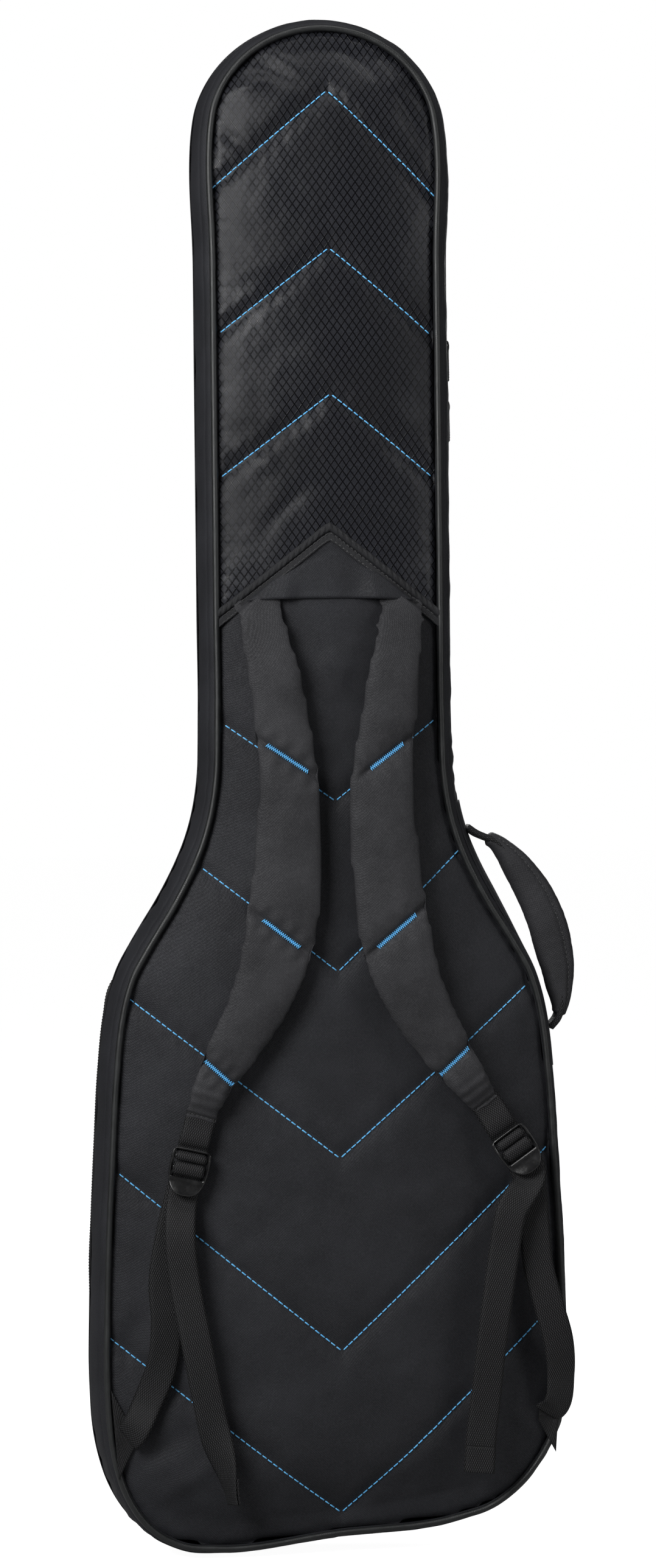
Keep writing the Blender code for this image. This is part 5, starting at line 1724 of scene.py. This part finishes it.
HANDLE_PATCH_Z, HANDLE_PATCH_Y = (0.3950, 0.6120), (-0.0330, -0.0040)


def handle():
    rows = spline(HANDLE_RUN, 240)[GRIP_STRETCH[0] : GRIP_STRETCH[1]]
    count = len(rows)
    run, half = rows[:, :2], rows[:, 2]
    along = headings(run)
    out = np.stack([along[:, 1], -along[:, 0]], axis=1)
    out *= np.sign(out[:, :1])
    share = np.linspace(0, 1, count)
    closed = np.sqrt(np.clip(np.minimum(share, 1 - share) / 0.018, 0.20, 1))
    thin = half / GRIP_RADIUS * closed
    wide = mix(0.80, 1.0, ease(np.minimum(share, 1 - share), 0.0, 0.20)) * closed
    sides = 48
    turns = np.linspace(0, 2 * math.pi, sides, endpoint=False)
    rings = []
    for i in range(count):
        centre = np.array([run[i, 0], HANDLE_Y, run[i, 1]])
        spots = np.stack([np.full(sides, share[i] * 0.19), np.cos(turns) * 0.02, np.sin(turns) * 0.02],
                         axis=1)
        rough = 1 + 0.024 * lumps(spots, 0.020, 71.0) + 0.014 * lumps(spots, 0.006, 72.0)
        radius = GRIP_RADIUS * rough * (1 - 0.12 * bell(turns - GRIP_SEAM, 0.11))
        squared = (np.abs(np.cos(turns)) ** 2.6 + np.abs(np.sin(turns)) ** 2.6) ** (-1 / 2.6)
        in_plane = np.cos(turns) * radius * squared * thin[i]
        ring = centre + np.outer(in_plane, (out[i, 0], 0, out[i, 1]))
        rings.append(ring + np.outer(np.sin(turns) * radius * squared * wide[i] * 0.92, (0.0, 1.0, 0.0)))
    grip = finish_piece(loft("handle_grip_cover", rings), "grip_cloth", "handle",
                        ["handle_grip"])

    over = Surface(grip)
    beside = run + out * (half * math.cos(GRIP_SEAM))[:, None]
    seam("handle_grip_stitches", [[tuple(p) for p in beside[10:-10:6]]], over, "black_thread",
         "handle", radius=0.0004, length=0.0030, gap=0.0011)

    whole = spline(HANDLE_RUN, 240)[:, :2]
    roots = (("upper", HANDLE_ANCHORS[0], 6, 76), ("lower", HANDLE_ANCHORS[1], -6, -66))
    for name, anchor, step, end in roots:
        sewn = side_point([outline.right(anchor)], HANDLE_Y, 0.0016)[0]
        nearest = int(np.argmin(np.linalg.norm(whole - sewn[[0, 2]], axis=1)))
        points = [tuple(sewn)] + [(x, HANDLE_Y, z) for x, z in whole[nearest + 2 * step : end : step]]
        ribbon(f"handle_webbing_{name}_root", spline(points, 60), (0.0, 1.0, 0.0), 0.0115, "handle",
               [f"handle_webbing_{name}"], thickness=0.0056, seed=73.0)
    low, high = (outline.right(z) for z in HANDLE_PATCH_Z)
    patch = strip("handle_patch_cloth", np.linspace(low, high, 90), HANDLE_PATCH_Y, 0.0002, 0.0012)
    finish_piece(patch, "panel_cloth", "back_shell", ["handle_patch"])


# ------------------------------------------------------------------ zip sliders and pulls
SLIDER_SUNK = 0.0022  # with the zip, where the side wall is drawn in


def placer(centre, across, along, out):
    """A function from distances across, along and out of a part to points in the bag."""

    def place(u, v, w):
        flat = centre + np.multiply.outer(u, across) + np.multiply.outer(v, along)
        return flat + np.multiply.outer(w, out)

    return place


def slider_and_pull(name, along, out, pull_along, sunk):
    """A zip slider with its bridge, and the moulded pull that hangs from it."""
    node_low, node_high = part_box(f"{name}_slider")
    along, out, pull_along = (np.array(v, float) for v in (along, out, pull_along))
    centre = np.array((node_low + node_high) / 2) - OFFSET - out * sunk
    place = placer(centre, np.cross(along, out), along, out)
    half = [(0.0, 0.0060), (0.0030, 0.0058), (0.0044, 0.0044), (0.0042, 0.0010), (0.0030, -0.0030),
            (0.0026, -0.0054), (0.0, -0.0060)]
    ring = mirrored(half, 48)
    lower = plate(f"{name}_slider_base", ring, [], 0.0011, 0.0003, lambda u, v, w: place(u, v, w - 0.0010))
    upper = plate(f"{name}_slider_top", ring, [], 0.0011, 0.0003, lambda u, v, w: place(u, v, w + 0.0008))
    arch = [(-0.0042, 0.0010), (-0.0040, 0.0026), (-0.0020, 0.0033), (0.0020, 0.0033), (0.0040, 0.0026),
            (0.0044, 0.0010)]
    run = spline(arch, 26)
    bridge = tube(f"{name}_slider_bridge", place(np.zeros(26), run[:, 0], run[:, 1]), 0.0008, 10)
    body = f"{name}_slider"
    for number, piece in enumerate((lower, upper, bridge)):
        finish_piece(piece, "zip_metal", body, [body] if number == 0 else [])

    low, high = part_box(f"{name}_pull")
    middle_point = np.array((low + high) / 2) - OFFSET - out * sunk
    pull_place = placer(middle_point, np.cross(pull_along, out), pull_along, out)
    half = [(0.0, -0.0150), (0.0018, -0.0147), (0.0026, -0.0132), (0.0021, -0.0090), (0.0024, -0.0040),
            (0.0031, 0.0040), (0.0033, 0.0110), (0.0026, 0.0140), (0.0, 0.0150)]
    ring = mirrored(half, 64)
    turns = np.linspace(0, 2 * math.pi, 16)[:-1]
    eye = [(0.0010 * math.cos(t), -0.0128 + 0.0010 * math.sin(t)) for t in turns]

    def ribs(_, v):
        return 0.00018 * np.sin(v * 2 * math.pi / 0.0022) * ease(v, -0.004, 0.000)

    pull = plate(f"{name}_pull_tab", ring, [eye], 0.0016, 0.0005, pull_place, ribs)
    finish_piece(pull, "pull", f"{name}_pull", [f"{name}_pull"])


def sliders():
    for name in ("main_upper", "main_lower"):
        slider_and_pull(name, (0, 0, 1), (1, 0, 0), (0, 0, -1), SLIDER_SUNK)
    for name, way in (("pocket_left", -1), ("pocket_right", 1)):
        slider_and_pull(name, (way, 0, 0), (0, 0, 1), (way, 0, 0), 0.0)


# ------------------------------------------------------------------ putting it together
def side_walls():
    base = ["base", "right", "head", "left"]
    wall("back_side_wall", -HALF_DEPTH, SPLIT_Y - 0.0003, [f"back_gusset_{part}" for part in base],
         "back_shell", 2.0)
    wall("front_side_wall", HALF_DEPTH, SPLIT_Y + 0.0003, [f"front_gusset_{part}" for part in base],
         "lid", 6.0)
    piping("back_piping_cord", -HALF_DEPTH, "back_piping", "back_shell", seed=3.0)
    piping("front_piping_cord", HALF_DEPTH, "front_piping", "lid", seed=8.0)


def build_bag():
    back = back_panels()
    quilting(back)
    seam_tape(back)
    yoke_flap(back)
    side_walls()
    main_zip()
    for side in ("left", "right"):
        side_tab(side, back)
        shoulder_pad(side)
        ladder_lock(side)
        strap_webbing(side)
    handle()
    sliders()
    front_panel()
    linings()
    pocket()


build_bag()


# ------------------------------------------------------------------ floor, light and camera
ROOM_LIGHT = 0.07
LAMPS = [
    ("key", (-1.1, -1.35, 1.40), (0.9, 0.9), 34.0),
    ("fill", (2.0, -1.5, 1.3), (0.7, 1.4), 12.0),
    ("top", (0.1, -0.6, 2.4), (1.4, 0.5), 9.0),
    ("rear", (0.4, 2.2, 1.5), (1.0, 1.0), 34.0),
]
CAMERA_AZIMUTH, CAMERA_DISTANCE, CAMERA_ROLL = -6.2, 3.012, 0.63
CAMERA_TARGET, LAMP_TARGET = Vector((-0.0040, -0.040, 0.628)), Vector((0, 0, 0.65))
FLOOR_REACH, FLOOR_WHITE = 30.0, 0.965


def lamp(name, place, size, power):
    data = bpy.data.lights.new(name, "AREA")
    data.shape = "RECTANGLE"
    data.size, data.size_y = size
    data.energy = power
    obj = add_object(name, data)
    obj.location = place
    obj.rotation_euler = (LAMP_TARGET - Vector(place)).to_track_quat("-Z", "Y").to_euler()


def studio():
    floor_mesh = bpy.data.meshes.new("floor")
    reach = FLOOR_REACH
    floor_mesh.from_pydata([(-reach, -reach, 0), (reach, -reach, 0), (reach, reach, 0), (-reach, reach, 0)],
                           [], [(0, 1, 2, 3)])
    floor = add_object("floor", floor_mesh)
    pale = Shade("pale_floor", (0.45, 0.45, 0.45), Roughness=1.0, Specular_IOR_Level=0.0)
    pale.shader.inputs["Emission Color"].default_value = (1.0, 1.0, 1.0, 1.0)
    rays = pale.nodes.new("ShaderNodeLightPath")
    pale.set("Emission Strength", pale.math("MULTIPLY", rays.outputs["Is Camera Ray"], FLOOR_WHITE))
    floor.data.materials.append(pale.material)

    world = bpy.data.worlds.new("studio")
    world.use_nodes = True
    nodes, links = world.node_tree.nodes, world.node_tree.links
    room = nodes["Background"]
    room.inputs["Strength"].default_value = ROOM_LIGHT
    paper = nodes.new("ShaderNodeBackground")
    for background in (room, paper):
        background.inputs["Color"].default_value = (1.0, 1.0, 1.0, 1.0)
    rays = nodes.new("ShaderNodeLightPath")
    either = nodes.new("ShaderNodeMixShader")
    links.new(rays.outputs["Is Camera Ray"], either.inputs[0])
    links.new(room.outputs[0], either.inputs[1])
    links.new(paper.outputs[0], either.inputs[2])
    links.new(either.outputs[0], nodes["World Output"].inputs["Surface"])
    bpy.context.scene.world = world

    for settings in LAMPS:
        lamp(*settings)


def camera():
    data = bpy.data.cameras.new("camera")
    data.lens, data.sensor_width, data.sensor_fit = 85.0, 36.0, "AUTO"
    obj = add_object("camera", data)
    turn = math.radians(CAMERA_AZIMUTH)
    towards = Vector((-math.sin(turn), math.cos(turn), 0))
    obj.location = CAMERA_TARGET - towards * CAMERA_DISTANCE
    view = towards.to_track_quat("-Z", "Y").to_matrix().to_4x4()
    roll = Matrix.Rotation(math.radians(-CAMERA_ROLL), 4, "Z")
    obj.matrix_world = Matrix.Translation(obj.location) @ view @ roll
    bpy.context.scene.camera = obj


studio()
camera()
bpy.context.scene.view_settings.view_transform = "Standard"
